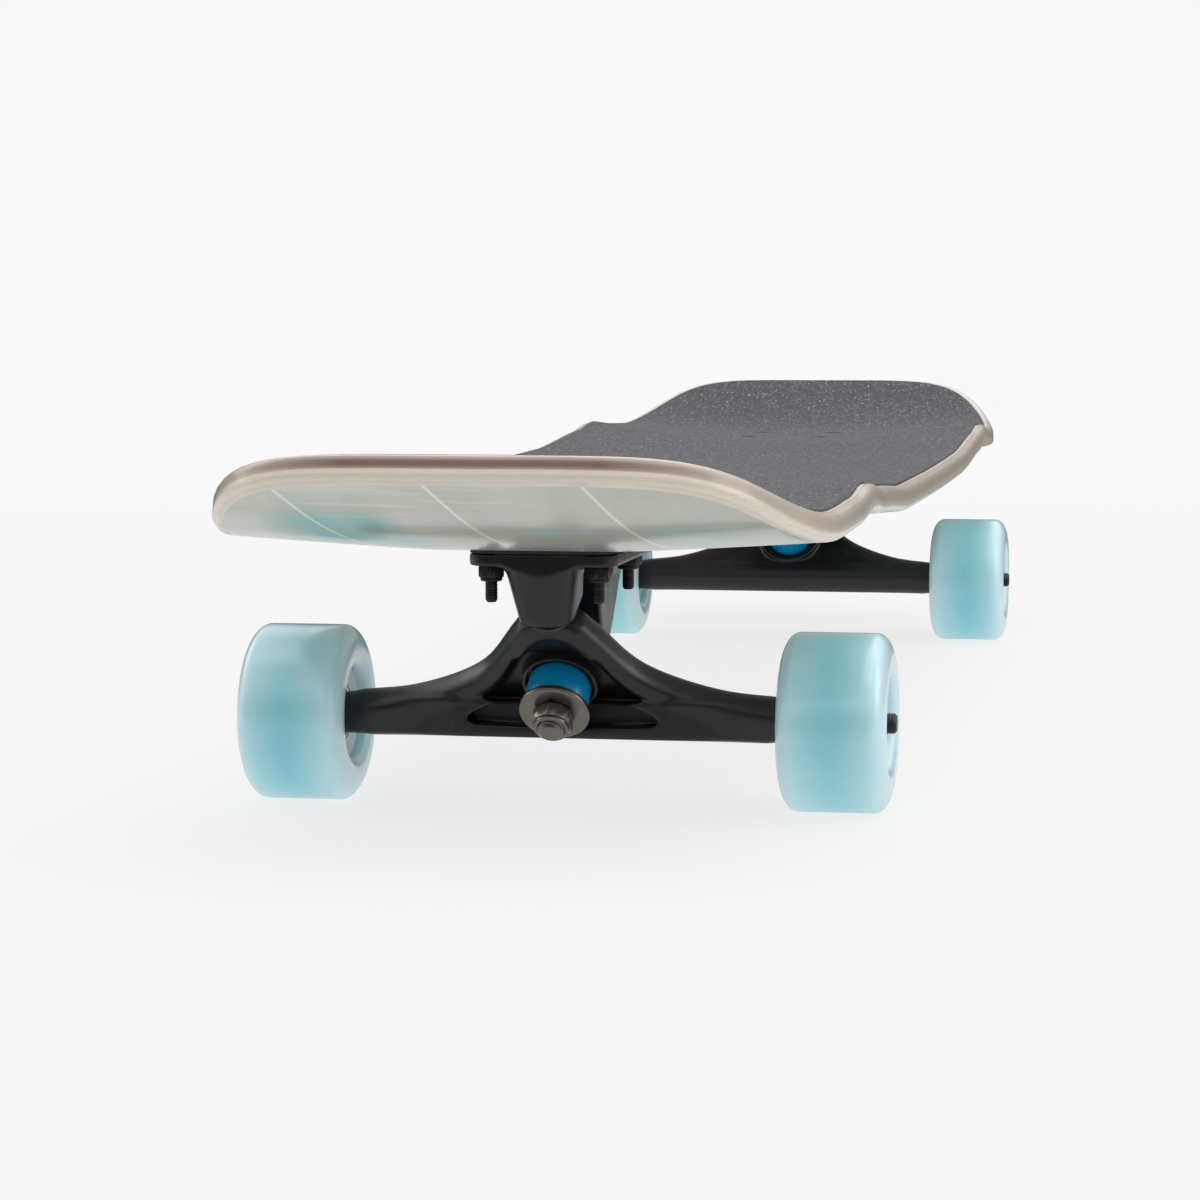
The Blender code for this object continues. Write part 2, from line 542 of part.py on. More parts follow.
def add_wheels(end, frame, made_of):
    seat, bore = BEARING_RADIUS, AXLE_RADIUS + GAP
    middle = BEARING_CENTRE - WHEEL_Y
    names = ("left", "right") if end == "nose" else ("right", "left")
    for side, sign in zip(names, (1, -1)):
        turned = (-sign * math.pi / 2, 0, 0)  # local Z runs outwards
        at = (0, sign * WHEEL_Y, AXLE_HEIGHT)
        add_object(f"{end}_{side}_wheel", lathe(wheel_profile(), 30, True), made_of["wheel"], frame, at, turned)
        for name, low in (("inner", middle - SPACER_WIDTH / 2 - BEARING_WIDTH), ("outer", middle + SPACER_WIDTH / 2)):
            near, far = low, low + BEARING_WIDTH
            if name == "inner":
                near, far = near - GAP, far - GAP
            else:
                near, far = near + 2 * GAP, far + 2 * GAP
            race = [(bore, near), (seat, near), (seat, far), (bore, far)]
            add_object(f"{end}_{side}_{name}_bearing", lathe(race, 20, True), made_of["bearing"], frame, at, turned)
        low, high = middle - SPACER_WIDTH / 2, middle + SPACER_WIDTH / 2 + GAP
        sleeve = [(bore, low), (0.0058, low), (0.0058, high), (bore, high)]
        add_object(f"{end}_{side}_spacer", lathe(sleeve, 16, True), made_of["steel"], frame, at, turned)
        nut_near = middle + SPACER_WIDTH / 2 + BEARING_WIDTH + 0.0012
        nut = bored(hexagon(AXLE_NUT_RADIUS), bore, nut_near, nut_near + AXLE_NUT_HEIGHT, 18)
        add_object(f"{end}_{side}_axle_nut", nut, made_of["black_steel"], frame, at, turned, 30)


def add_truck(end, x, turn, made_of):
    frame = bpy.data.objects.new(f"{end}_truck", None)
    bpy.context.scene.collection.objects.link(frame)
    frame.location = (x, 0, 0)
    frame.rotation_euler = (0, 0, turn)
    add_truck_base(end, frame, made_of)
    add_kingpin_stack(end, frame, made_of)
    add_hanger(end, frame, made_of)
    add_mounting_bolts(end, frame, made_of)
    add_wheels(end, frame, made_of)


def main():
    clear_scene()
    made_of = {
        "wood": material("maple_veneer", (0.62, 0.52, 0.40), 0.55, 0.0),
        "grit": material("grip_grit", (0.10, 0.10, 0.11), 0.95, 0.0),
        "cast": material("satin_black_alloy", (0.045, 0.045, 0.050), 0.42, 0.6),
        "steel": material("gunmetal_steel", (0.22, 0.21, 0.20), 0.32, 1.0),
        "black_steel": material("black_steel", (0.03, 0.03, 0.03), 0.40, 0.8),
        "rubber": material("black_rubber", (0.02, 0.02, 0.02), 0.80, 0.0),
        "cup": material("nylon_cup", (0.05, 0.05, 0.05), 0.60, 0.0),
        "urethane": material("blue_bushing_urethane", (0.0, 0.19, 0.42), 0.35, 0.0),
        "wheel": material("aqua_urethane", (0.36, 0.66, 0.74), 0.45, 0.0),
        "bearing": material("bearing_steel", (0.55, 0.56, 0.58), 0.28, 1.0),
    }
    add_board(made_of["wood"], made_of["grit"])
    add_truck("nose", WHEELBASE / 2, 0.0, made_of)
    add_truck("tail", -WHEELBASE / 2, math.pi, made_of)


main()
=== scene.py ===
"""Finished look of a skateboard with kicked ends, reverse-kingpin trucks and soft aqua wheels.

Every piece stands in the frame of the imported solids: metres, +X to the nose, +Y to the left of a
rider who faces the nose, +Z up from the ground. A truck is made once, in a frame whose origin is
on the ground under its axle and whose +X runs outwards, and is placed at both ends.
"""

import math

import bpy
import numpy as np
from bpy.props import FloatProperty, FloatVectorProperty, IntProperty, PointerProperty
from bpy.types import Operator, Panel, PropertyGroup
from mathutils import Euler, Matrix, Vector


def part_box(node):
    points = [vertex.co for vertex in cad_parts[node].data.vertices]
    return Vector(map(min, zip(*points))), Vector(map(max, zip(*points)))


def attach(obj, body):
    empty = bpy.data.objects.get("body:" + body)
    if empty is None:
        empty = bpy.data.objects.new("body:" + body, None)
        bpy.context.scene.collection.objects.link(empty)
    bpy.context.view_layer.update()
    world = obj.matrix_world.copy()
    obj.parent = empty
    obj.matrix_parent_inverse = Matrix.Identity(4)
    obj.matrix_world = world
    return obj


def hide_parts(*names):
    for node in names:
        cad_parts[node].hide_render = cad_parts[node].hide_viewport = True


bl_info = {
    "name": "Skateboard",
    "version": (1, 0, 0),
    "blender": (4, 5, 0),
    "location": "3D View > Sidebar > Skateboard",
    "description": "Builds the finished pieces of a skateboard on its packed solids",
    "category": "Object",
}

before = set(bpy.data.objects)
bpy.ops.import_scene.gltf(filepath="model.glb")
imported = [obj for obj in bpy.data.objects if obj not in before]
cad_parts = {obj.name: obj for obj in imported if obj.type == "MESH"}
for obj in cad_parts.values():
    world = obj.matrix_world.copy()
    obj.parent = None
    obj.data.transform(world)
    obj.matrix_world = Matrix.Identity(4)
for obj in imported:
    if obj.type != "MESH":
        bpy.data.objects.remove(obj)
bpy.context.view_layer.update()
ENDS = ("nose", "tail")
AXLE_LOW, AXLE_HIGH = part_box("nose_axle")
WHEEL_LOW, WHEEL_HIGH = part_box("nose_left_wheel")


# Settings


def size(name, description, default):
    return FloatProperty(name=name, description=description, default=default, unit="LENGTH", precision=4)


def colour(name, description, default):
    return FloatVectorProperty(
        name=name, description=description, default=default, subtype="COLOR", size=3, min=0, max=1
    )


class BoardSettings(PropertyGroup):
    outline_length: size("Outline length", "Length of the deck's upper face, tip to tip", 1.006)
    outline_width: size("Outline width", "Width of the deck's upper face", 0.2323)
    thickness: size("Deck thickness", "All the veneers together", 0.011)
    underside: size("Underside height", "Height of the deck's lower face over the trucks", 0.1055)
    edge_round: size("Edge rounding", "Radius of the deck's rounded edge", 0.0035)
    grip_thickness: size("Grip thickness", "Thickness of the grip tape", 0.0009)
    veneer_pale: colour("Pale veneer", "Outer veneers, seen on the edge", (0.74, 0.67, 0.57))
    veneer_dark: colour("Dark veneer", "Inner veneers, seen on the edge", (0.115, 0.040, 0.022))
    graphic_ground: colour("Graphic ground", "Ground colour of the lower face", (0.52, 0.53, 0.46))
    graphic_teal: colour("Graphic strokes", "Brush strokes on the lower face", (0.19, 0.42, 0.40))
    grip_grey: colour("Grip colour", "Abrasive film", (0.072, 0.072, 0.080))


class TruckSettings(PropertyGroup):
    axle_height: size("Axle height", "Height of the axles", float(AXLE_LOW[2] + AXLE_HIGH[2]) / 2)
    axle_place: size("Axle place", "From the middle to an axle", float(AXLE_LOW[0] + AXLE_HIGH[0]) / 2)
    axle_half: size("Axle half length", "From the middle to an axle's end", float(AXLE_HIGH[1] - AXLE_LOW[1]) / 2)
    skin_step: size("Casting fineness", "Spacing of the points of a casting's skin", 0.0008)
    cast_black: colour("Casting colour", "Satin coat of hangers and baseplates", (0.006, 0.006, 0.0075))
    nickel: colour("Nickel colour", "Washers, nuts and kingpins", (0.205, 0.190, 0.170))
    bushing_blue: colour("Bushing colour", "Cast urethane of the bushings", (0.0, 0.27, 0.56))


class WheelSettings(PropertyGroup):
    radius: size("Wheel radius", "Outer radius of a wheel", float(WHEEL_HIGH[2] - WHEEL_LOW[2]) / 2)
    width: size("Wheel width", "Full width of a wheel", float(WHEEL_HIGH[1] - WHEEL_LOW[1]))
    tread: size("Tread width", "Flat width that meets the ground", 0.0290)
    place: size("Wheel place", "From the middle to a wheel's middle", float(WHEEL_LOW[1] + WHEEL_HIGH[1]) / 2)
    balls: IntProperty(name="Balls", description="Balls in each bearing", default=7, min=5, max=10)
    urethane: colour("Wheel colour", "Milky urethane of the wheels", (0.33, 0.70, 0.77))


class StageSettings(PropertyGroup):
    floor: colour("Floor colour", "Plain pale floor", (0.90, 0.90, 0.905))
    key_power: FloatProperty(name="Key light", description="Power of the large light overhead", default=20.0, min=0)
    side_power: FloatProperty(name="Side lights", description="Power of the lights at the sides", default=10.0, min=0)
    lens: FloatProperty(name="Lens", description="Focal length in millimetres", default=100.1, min=10)


class SkateboardSettings(PropertyGroup):
    board: PointerProperty(type=BoardSettings)
    truck: PointerProperty(type=TruckSettings)
    wheel: PointerProperty(type=WheelSettings)
    stage: PointerProperty(type=StageSettings)


def settings():
    return bpy.context.scene.skateboard


# Truck frame: K runs down along the kingpin, P up along the steering axis

LEAN = math.radians(40)
K = np.array((math.cos(LEAN), 0.0, -math.sin(LEAN)))
P = np.array((math.sin(LEAN), 0.0, math.cos(LEAN)))
SEAT = np.array((0.0134, 0.0, 0.0532))  # the middle of the bushing seat
PLATE_TOP, PLATE_BOTTOM = 0.1028, 0.0983
BOLT_XS, BOLT_Y = (-0.017, 0.046), 0.02065
BEARING_MIDDLE, BEARING_WIDTH = 0.1032, 0.0070
AXLE_RADIUS, AXLE_BORE = 0.0040, 0.0043
AXLE_MM = 35  # the axle's height, in the castings' millimetres


def truck_place(end):
    """Where a truck's frame stands."""
    x = settings().truck.axle_place
    if end == "nose":
        return Matrix.Translation((x, 0, 0))
    return Matrix.Translation((-x, 0, 0)) @ Matrix.Rotation(math.pi, 4, "Z")


def onto(direction, origin):
    """Turns local Z onto a direction in the XZ plane and moves the origin."""
    lean = math.atan2(direction[0], direction[2])
    return Matrix.Translation(Vector(origin)) @ Euler((0, lean, 0)).to_matrix().to_4x4()


def wheel_place(end, side):
    """A wheel's frame: origin in its middle, local Z outwards along the axle."""
    out = 1 if (side == "left") == (end == "nose") else -1
    s = settings()
    at = Matrix.Translation((0, out * s.wheel.place, s.truck.axle_height))
    return truck_place(end) @ (at @ Matrix.Rotation(-out * math.pi / 2, 4, "X"))


# Mesh tools


def linked(name, data):
    """A new object in the scene."""
    obj = bpy.data.objects.new(name, data)
    bpy.context.scene.collection.objects.link(obj)
    return obj


def make_mesh(name, points, faces, finishes=(), face_finish=None):
    mesh = bpy.data.meshes.new(name)
    mesh.from_pydata(np.asarray(points, float).tolist(), [], [list(map(int, f)) for f in faces])
    mesh.update()
    for finish in finishes:
        mesh.materials.append(FINISHES[finish])
    if face_finish is not None:
        mesh.polygons.foreach_set("material_index", np.asarray(face_finish, np.int32))
    return linked(name, mesh)


def smoothed(mesh, sharp):
    """Shades a mesh smooth, apart from edges sharper than an angle in degrees."""
    mesh.shade_smooth()
    mesh.set_sharp_from_angle(angle=math.radians(sharp))


def settle(obj, body, nodes):
    """Lets a piece ride on a body and stand for CAD nodes."""
    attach(obj, body)
    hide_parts(*nodes)


def make_piece(name, made, body, finishes, node, slot, place, sharp, face_finish=None):
    """A finished piece of (points, faces) whose place is in its mesh, standing for one CAD node."""
    obj = make_mesh(name, *made, finishes, face_finish)
    obj.data.transform(place)
    smoothed(obj.data, sharp)
    settle(obj, body, [node])


def evaluated(obj):
    """The plain mesh that an object's modifiers make."""
    graph = bpy.context.evaluated_depsgraph_get()
    graph.update()
    return bpy.data.meshes.new_from_object(obj.evaluated_get(graph), depsgraph=graph)


def turned(profile, segments, closed=True):
    """Points and faces of a (radius, height) profile turned about Z. Points on the axis become poles."""
    points, rings = [], []
    turn = np.linspace(0, 2 * math.pi, segments, endpoint=False)
    for radius, height in profile:
        if radius < 1e-7:
            rings.append([len(points)] * segments)
            points.append((0, 0, height))
            continue
        rings.append(list(range(len(points), len(points) + segments)))
        points.extend(zip(radius * np.cos(turn), radius * np.sin(turn), [height] * segments))
    pairs = list(zip(rings, rings[1:])) + ([(rings[-1], rings[0])] if closed else [])
    faces = []
    for low, high in pairs:
        for i in range(segments):
            nxt = (i + 1) % segments
            corners = list(dict.fromkeys((low[i], low[nxt], high[nxt], high[i])))
            if len(corners) > 2:
                faces.append(corners)
    return points, faces


def outward(points, faces):
    """The faces, turned round together if they enclose a negative volume."""
    points = np.asarray(points, float)
    total = 0.0
    for face in faces:
        first = points[face[0]]
        for b, c in zip(face[1:], face[2:]):
            total += np.dot(first, np.cross(points[b], points[c]))
    return faces if total > 0 else [list(reversed(f)) for f in faces]


def lathe(profile, segments, closed=True):
    """A profile turned about Z, with its faces pointing outwards."""
    points, faces = turned(profile, segments, closed)
    return points, outward(points, faces)


def rounded(profile, radius, steps=2, skip=()):
    """The closed profile with each corner replaced by a short curve."""
    made = []
    count = len(profile)
    for i, corner in enumerate(profile):
        if i in skip:
            made.append(corner)
            continue
        here, before, after = (np.array(profile[j % count], float) for j in (i, i - 1, i + 1))
        reach = min(radius, np.linalg.norm(before - here) * 0.45, np.linalg.norm(after - here) * 0.45)
        start = here + (before - here) / np.linalg.norm(before - here) * reach
        end = here + (after - here) / np.linalg.norm(after - here) * reach
        for t in np.linspace(0, 1, steps + 1):
            made.append(tuple((1 - t) ** 2 * start + 2 * t * (1 - t) * here + t * t * end))
    return made


def joined(*parts):
    """Several (points, faces) as one."""
    points, faces = [], []
    for some_points, some_faces in parts:
        start = len(points)
        points.extend(some_points)
        faces.extend([[start + int(i) for i in f] for f in some_faces])
    return points, faces


def hex_nut(radius, hole, low, high, chamfer, segments=48):
    """A hexagon nut with turned-down corners at both ends."""
    points, rings = [], []
    turn = np.linspace(0, 2 * math.pi, segments, endpoint=False)
    flat = radius * math.cos(math.pi / 6)
    edge = flat / np.cos((turn % (math.pi / 3)) - math.pi / 6)
    levels = [(np.full(segments, hole), low + 0.0004), (np.full(segments, hole + 0.0004), low)]
    levels += [(np.minimum(edge, flat * 0.985), low), (np.minimum(edge, flat * 1.01), low + chamfer * 0.35)]
    levels += [(edge, low + chamfer), (edge, high - chamfer), (np.minimum(edge, flat * 1.01), high - chamfer * 0.35)]
    levels += [(np.minimum(edge, flat * 0.985), high), (np.full(segments, hole + 0.0004), high)]
    levels += [(np.full(segments, hole), high - 0.0004)]
    for radii, height in levels:
        rings.append(list(range(len(points), len(points) + segments)))
        points.extend(zip(radii * np.cos(turn), radii * np.sin(turn), [height] * segments))
    faces = []
    for lower, upper in zip(rings, rings[1:] + rings[:1]):
        for i in range(segments):
            nxt = (i + 1) % segments
            faces.append((lower[i], lower[nxt], upper[nxt], upper[i]))
    return points, outward(points, faces)


def collar(hole, wide, narrow, end, side, top, sink, segments):
    """The round collar on a nut: its side and top stand above the nut's end, its foot sinks below it."""
    profile = [(hole, end - sink), (wide, end), (wide, end + side), (narrow, end + top), (hole, end + top)]
    return lathe(rounded(profile, 0.0003), segments)


def speed_washer(low, high, soft):
    """A flat washer between a bearing and what holds it."""
    wide = 0.0064
    return lathe(rounded([(AXLE_BORE, low), (wide, low), (wide, high), (AXLE_BORE, high)], soft), 40)


# Nodes

TREES, GROUPS, FINISHES = {}, {}, {}
FLOAT, INTEGER, VECTOR, COLOUR = (f"NodeSocket{kind}" for kind in ("Float", "Int", "Vector", "Color"))
GEOMETRY, OBJECT, MATERIAL = (f"NodeSocket{kind}" for kind in ("Geometry", "Object", "Material"))


def feed(tree, value, socket):
    """Links another node's output to an input, or sets the input to a plain value."""
    if isinstance(value, bpy.types.NodeSocket):
        tree.links.new(value, socket)
    else:
        socket.default_value = value


def add_node(tree, kind, inputs=None, out=0, **fields):
    """A node with its fields set and its inputs linked or set; returns one of its outputs."""
    node = tree.nodes.new(kind)
    for name, value in fields.items():
        setattr(node, name, value)
    for key, value in (inputs or {}).items():
        feed(tree, value, node.inputs[key])
    return node.outputs[out]


def add_inputs(tree, inputs):
    """Adds named inputs to a tree or group; returns their identifiers."""
    sockets = {}
    for label, kind, default in inputs:
        socket = tree.interface.new_socket(label, in_out="INPUT", socket_type=kind)
        if default is not None:
            socket.default_value = default
        sockets[label] = socket.identifier
    return sockets


# Geometry Nodes


def new_tree(name, *inputs):
    """A tree, the identifiers of its inputs, and what its input node gives."""
    tree = bpy.data.node_groups.new(name, "GeometryNodeTree")
    sockets = add_inputs(tree, [("Geometry", GEOMETRY, None), *inputs, ("Material", MATERIAL, None)])
    tree.interface.new_socket("Geometry", in_out="OUTPUT", socket_type=GEOMETRY)
    return tree, sockets, tree.nodes.new("NodeGroupInput").outputs


def finish_tree(tree, given, geometry):
    """Ends a tree in Realize Instances and Set Material."""
    realized = add_node(tree, "GeometryNodeRealizeInstances", {0: geometry})
    painted = add_node(tree, "GeometryNodeSetMaterial", {"Geometry": realized, "Material": given["Material"]})
    tree.links.new(painted, tree.nodes.new("NodeGroupOutput").inputs[0])


def copies_tree():
    """Puts a copy of a piece on every point, each turned about Z by a seeded random angle."""
    inputs = (("Piece", OBJECT, None), ("Most Turn", FLOAT, 0.0), ("Seed", INTEGER, 3))
    tree, sockets, given = new_tree("Copies on points", *inputs)
    piece = add_node(tree, "GeometryNodeObjectInfo", {"Object": given["Piece"]}, "Geometry")
    chance = add_node(tree, "FunctionNodeRandomValue", {3: given["Most Turn"], "Seed": given["Seed"]}, 1)
    turn = add_node(tree, "ShaderNodeCombineXYZ", {"Z": chance})
    copies = {"Points": given["Geometry"], "Instance": piece, "Rotation": turn}
    finish_tree(tree, given, add_node(tree, "GeometryNodeInstanceOnPoints", copies))
    return tree, sockets


def balls_tree():
    """Puts a ball on every point."""
    inputs = (("Ball Radius", FLOAT, 0.002), ("Fineness", INTEGER, 2))
    tree, sockets, given = new_tree("Balls on points", *inputs)
    shape = {"Radius": given["Ball Radius"], "Subdivisions": given["Fineness"]}
    ball = add_node(tree, "GeometryNodeMeshIcoSphere", shape, "Mesh")
    ball = add_node(tree, "GeometryNodeSetShadeSmooth", {"Geometry": ball})
    copies = {"Points": given["Geometry"], "Instance": ball}
    finish_tree(tree, given, add_node(tree, "GeometryNodeInstanceOnPoints", copies))
    return tree, sockets


def thread_tree():
    """A screw thread: a small ridge that climbs round a shaft."""
    defaults = (("Shaft Radius", 0.004), ("Length", 0.01), ("Pitch", 0.001), ("Ridge", 0.0004))
    tree, sockets, given = new_tree("Screw thread", *((label, FLOAT, default) for label, default in defaults))
    radius, length = given["Shaft Radius"], given["Length"]
    turns = add_node(tree, "ShaderNodeMath", {0: length, 1: given["Pitch"]}, operation="DIVIDE")
    path = {"Resolution": 20, "Rotations": turns, "Start Radius": radius, "End Radius": radius, "Height": length}
    ridge = add_node(tree, "GeometryNodeCurvePrimitiveCircle", {"Resolution": 4, "Radius": given["Ridge"]})
    swept = {"Curve": add_node(tree, "GeometryNodeCurveSpiral", path), "Profile Curve": ridge, "Fill Caps": True}
    finish_tree(tree, given, add_node(tree, "GeometryNodeCurveToMesh", swept))
    return tree, sockets


def grown(points, made, values, name="grown"):
    """Runs a tree on loose points and returns the plain mesh that it makes."""
    tree, sockets = made
    obj = make_mesh(name, points, [])
    modifier = obj.modifiers.new("Build", "NODES")
    modifier.node_group = tree
    for label, value in values.items():
        modifier[sockets[label]] = value
    mesh = evaluated(obj)
    bpy.data.objects.remove(obj, do_unlink=True)
    return mesh


def parts_of(mesh, place=None):
    """(points, faces) of a mesh, which is then removed."""
    if place is not None:
        mesh.transform(place)
    points = [tuple(v.co) for v in mesh.vertices]
    faces = [list(f.vertices) for f in mesh.polygons]
    bpy.data.meshes.remove(mesh)
    return points, outward(points, faces)


def thread(radius, length, pitch, ridge, start, finish, flip=0.0):
    """Points and faces of a thread that starts at a height on local Z, flipped about X if asked."""
    values = {"Shaft Radius": radius, "Length": length, "Pitch": pitch, "Ridge": ridge}
    mesh = grown([(0, 0, 0)], TREES["thread"], {**values, "Material": FINISHES[finish]})
    return parts_of(mesh, Matrix.Rotation(flip, 4, "X") @ Matrix.Translation((0, 0, start)))


# Shapes by distance: each function takes points in millimetres and gives the distance to a surface


def blend_in(a, b, soft):
    h = np.clip(0.5 + 0.5 * (b - a) / soft, 0, 1)
    return b * (1 - h) + a * h - soft * h * (1 - h)


def carve(a, b, soft):
    return -blend_in(-a, b, soft)


def block(parts, halves, soft):
    """A box with rounded edges; parts are the coordinates measured from its middle."""
    far = [np.abs(p) - (h - soft) for p, h in zip(parts, halves)]
    outside = np.sqrt(sum(np.maximum(f, 0) ** 2 for f in far))
    return outside + np.minimum(np.maximum.reduce(far), 0) - soft


def drum(across, along, radius, low, high, soft):
    """A round bar of the given radius between two heights."""
    middle, half = (low + high) / 2, (high - low) / 2
    return block((across, along - middle), (radius, half), soft)


def outline(u, v, corners):
    """Signed distance to a closed polygon in the (u, v) plane."""
    best = np.full(u.shape, 1e9, u.dtype)
    inside = np.zeros(u.shape, bool)
    for (u0, v0), (u1, v1) in zip(corners, corners[1:] + corners[:1]):
        du, dv = u1 - u0, v1 - v0
        t = np.clip(((u - u0) * du + (v - v0) * dv) / (du * du + dv * dv), 0, 1)
        best = np.minimum(best, (u - u0 - t * du) ** 2 + (v - v0 - t * dv) ** 2)
        if v0 != v1:
            crosses = ((v0 > v) != (v1 > v)) & (u < du * (v - v0) / dv + u0)
            inside ^= crosses
    return np.where(inside, -1, 1) * np.sqrt(best)


def slab(flat, along, half, soft):
    """A flat outline given a thickness, with rounded edges."""
    far = (flat + soft, np.abs(along) - (half - soft))
    outside = np.hypot(np.maximum(far[0], 0), np.maximum(far[1], 0))
    return outside + np.minimum(np.maximum(*far), 0) - soft


def softened(path, steps=3):
    """A curve through the points of a path, as more points."""
    points = np.array([path[0], *path, path[-1]], float)
    made = []
    for a, b, c, d in zip(points, points[1:], points[2:], points[3:]):
        for t in np.linspace(0, 1, steps, endpoint=False):
            bend, twist = 2 * a - 5 * b + 4 * c - d, 3 * b - a - 3 * c + d
            made.append(0.5 * (2 * b + (c - a) * t + bend * t**2 + twist * t**3))
    made.append(points[-1])
    return [tuple(m) for m in made]


def skin(shape, low, high, step):
    """Points and quads of the surface where shape is zero, inside a box in millimetres."""
    counts = [int(math.ceil((h - l) / step)) + 1 for l, h in zip(low, high)]
    axes = [(l + step * np.arange(n)).astype(np.float32) for l, n in zip(low, counts)]
    values = np.empty(counts, np.float32)
    for i in range(0, counts[0], 8):
        grid = np.meshgrid(axes[0][i : i + 8], axes[1], axes[2], indexing="ij")
        values[i : i + 8] = shape(*grid)
    solid = values < 0
    cells = tuple(n - 1 for n in counts)
    total = np.zeros((*cells, 3), np.float32)
    count = np.zeros(cells, np.float32)
    edges = []
    for axis in range(3):
        near = [slice(None)] * 3
        far = [slice(None)] * 3
        near[axis], far[axis] = slice(0, -1), slice(1, None)
        a, b = values[tuple(near)], values[tuple(far)]
        crossed = np.argwhere((a < 0) != (b < 0))
        at = a[tuple(crossed.T)] / (a[tuple(crossed.T)] - b[tuple(crossed.T)])
        point = crossed.astype(np.float32)
        point[:, axis] += at
        others = [d for d in range(3) if d != axis]
        around = []
        whole = np.ones(len(crossed), bool)
        for du, dv in ((0, 0), (1, 0), (1, 1), (0, 1)):
            cell = crossed.copy()
            cell[:, others[0]] -= du
            cell[:, others[1]] -= dv
            inside = ((cell >= 0) & (cell < cells)).all(1)
            whole &= inside
            np.add.at(total, tuple(cell[inside].T), point[inside])
            np.add.at(count, tuple(cell[inside].T), 1)
            around.append(cell)
        flip = solid[tuple(crossed.T)] ^ (axis == 1)
        edges.append((around, whole, flip))
    index = np.full(cells, -1, np.int64)
    used = np.argwhere(count > 0)
    index[tuple(used.T)] = np.arange(len(used))
    points = total[tuple(used.T)] / count[tuple(used.T)][:, None] * step + np.array(low, np.float32)
    quads = []
    for around, whole, flip in edges:
        corners = np.stack([index[tuple(np.clip(c, 0, np.array(cells) - 1).T)] for c in around], 1)[whole]
        flip = flip[whole]
        quads.append(np.where(flip[:, None], corners, corners[:, ::-1]))
    points = points.astype(np.float64)
    for _ in range(3):
        value = shape(*points.T)
        slope = np.stack([shape(*(points + d).T) - shape(*(points - d).T) for d in np.eye(3) * 0.05], 1) / 0.1
        move = -value[:, None] * slope / np.maximum((slope**2).sum(1), 0.2)[:, None]
        points += np.clip(move, -step * 0.4, step * 0.4)
    return points, np.concatenate(quads)


def seat_axes(x, z):
    """Distances from the bushing seat along the steering axis and down the kingpin, in millimetres."""
    dx, dz = x - SEAT[0] * 1000, z - SEAT[2] * 1000
    return dx * P[0] + dz * P[2], dx * K[0] + dz * K[2]


def both_within(a, b, soft):
    """What lies inside both shapes, with the edge between them rounded."""
    return -blend_in(-a, -b, soft)


def level(value, *knots):
    """A number that runs evenly between (place, number) knots."""
    places, numbers = zip(*knots)
    return np.interp(value, places, numbers)


def arm_distance(side, q):
    """Distance to the middle line of an arm, less the arm's half width there."""
    best = None
    for (y0, q0, w0), (y1, q1, w1) in zip(ARM, ARM[1:]):
        dy, dq = y1 - y0, q1 - q0
        t = np.clip(((side - y0) * dy + (q - q0) * dq) / (dy * dy + dq * dq), 0, 1)
        d = np.hypot(side - y0 - t * dy, q - q0 - t * dq) - (w0 + t * (w1 - w0))
        best = d if best is None else np.minimum(best, d)
    return best


# Middle line and half width of an arm, across the board and along the steering axis
ARM = [(9.0, 27.0, 5.2), (14.2, 21.0, 4.2), (18.3, 15.0, 4.0), (22.0, 9.0, 4.3), (26.4, 3.0, 4.7)]
ARM += [(32.8, -3.2, 5.3), (40.5, -8.2, 5.7), (51.0, -13.2, 6.2), (63.0, -17.4, 6.8), (79.0, -21.0, 7.4)]
ARM = softened(ARM)


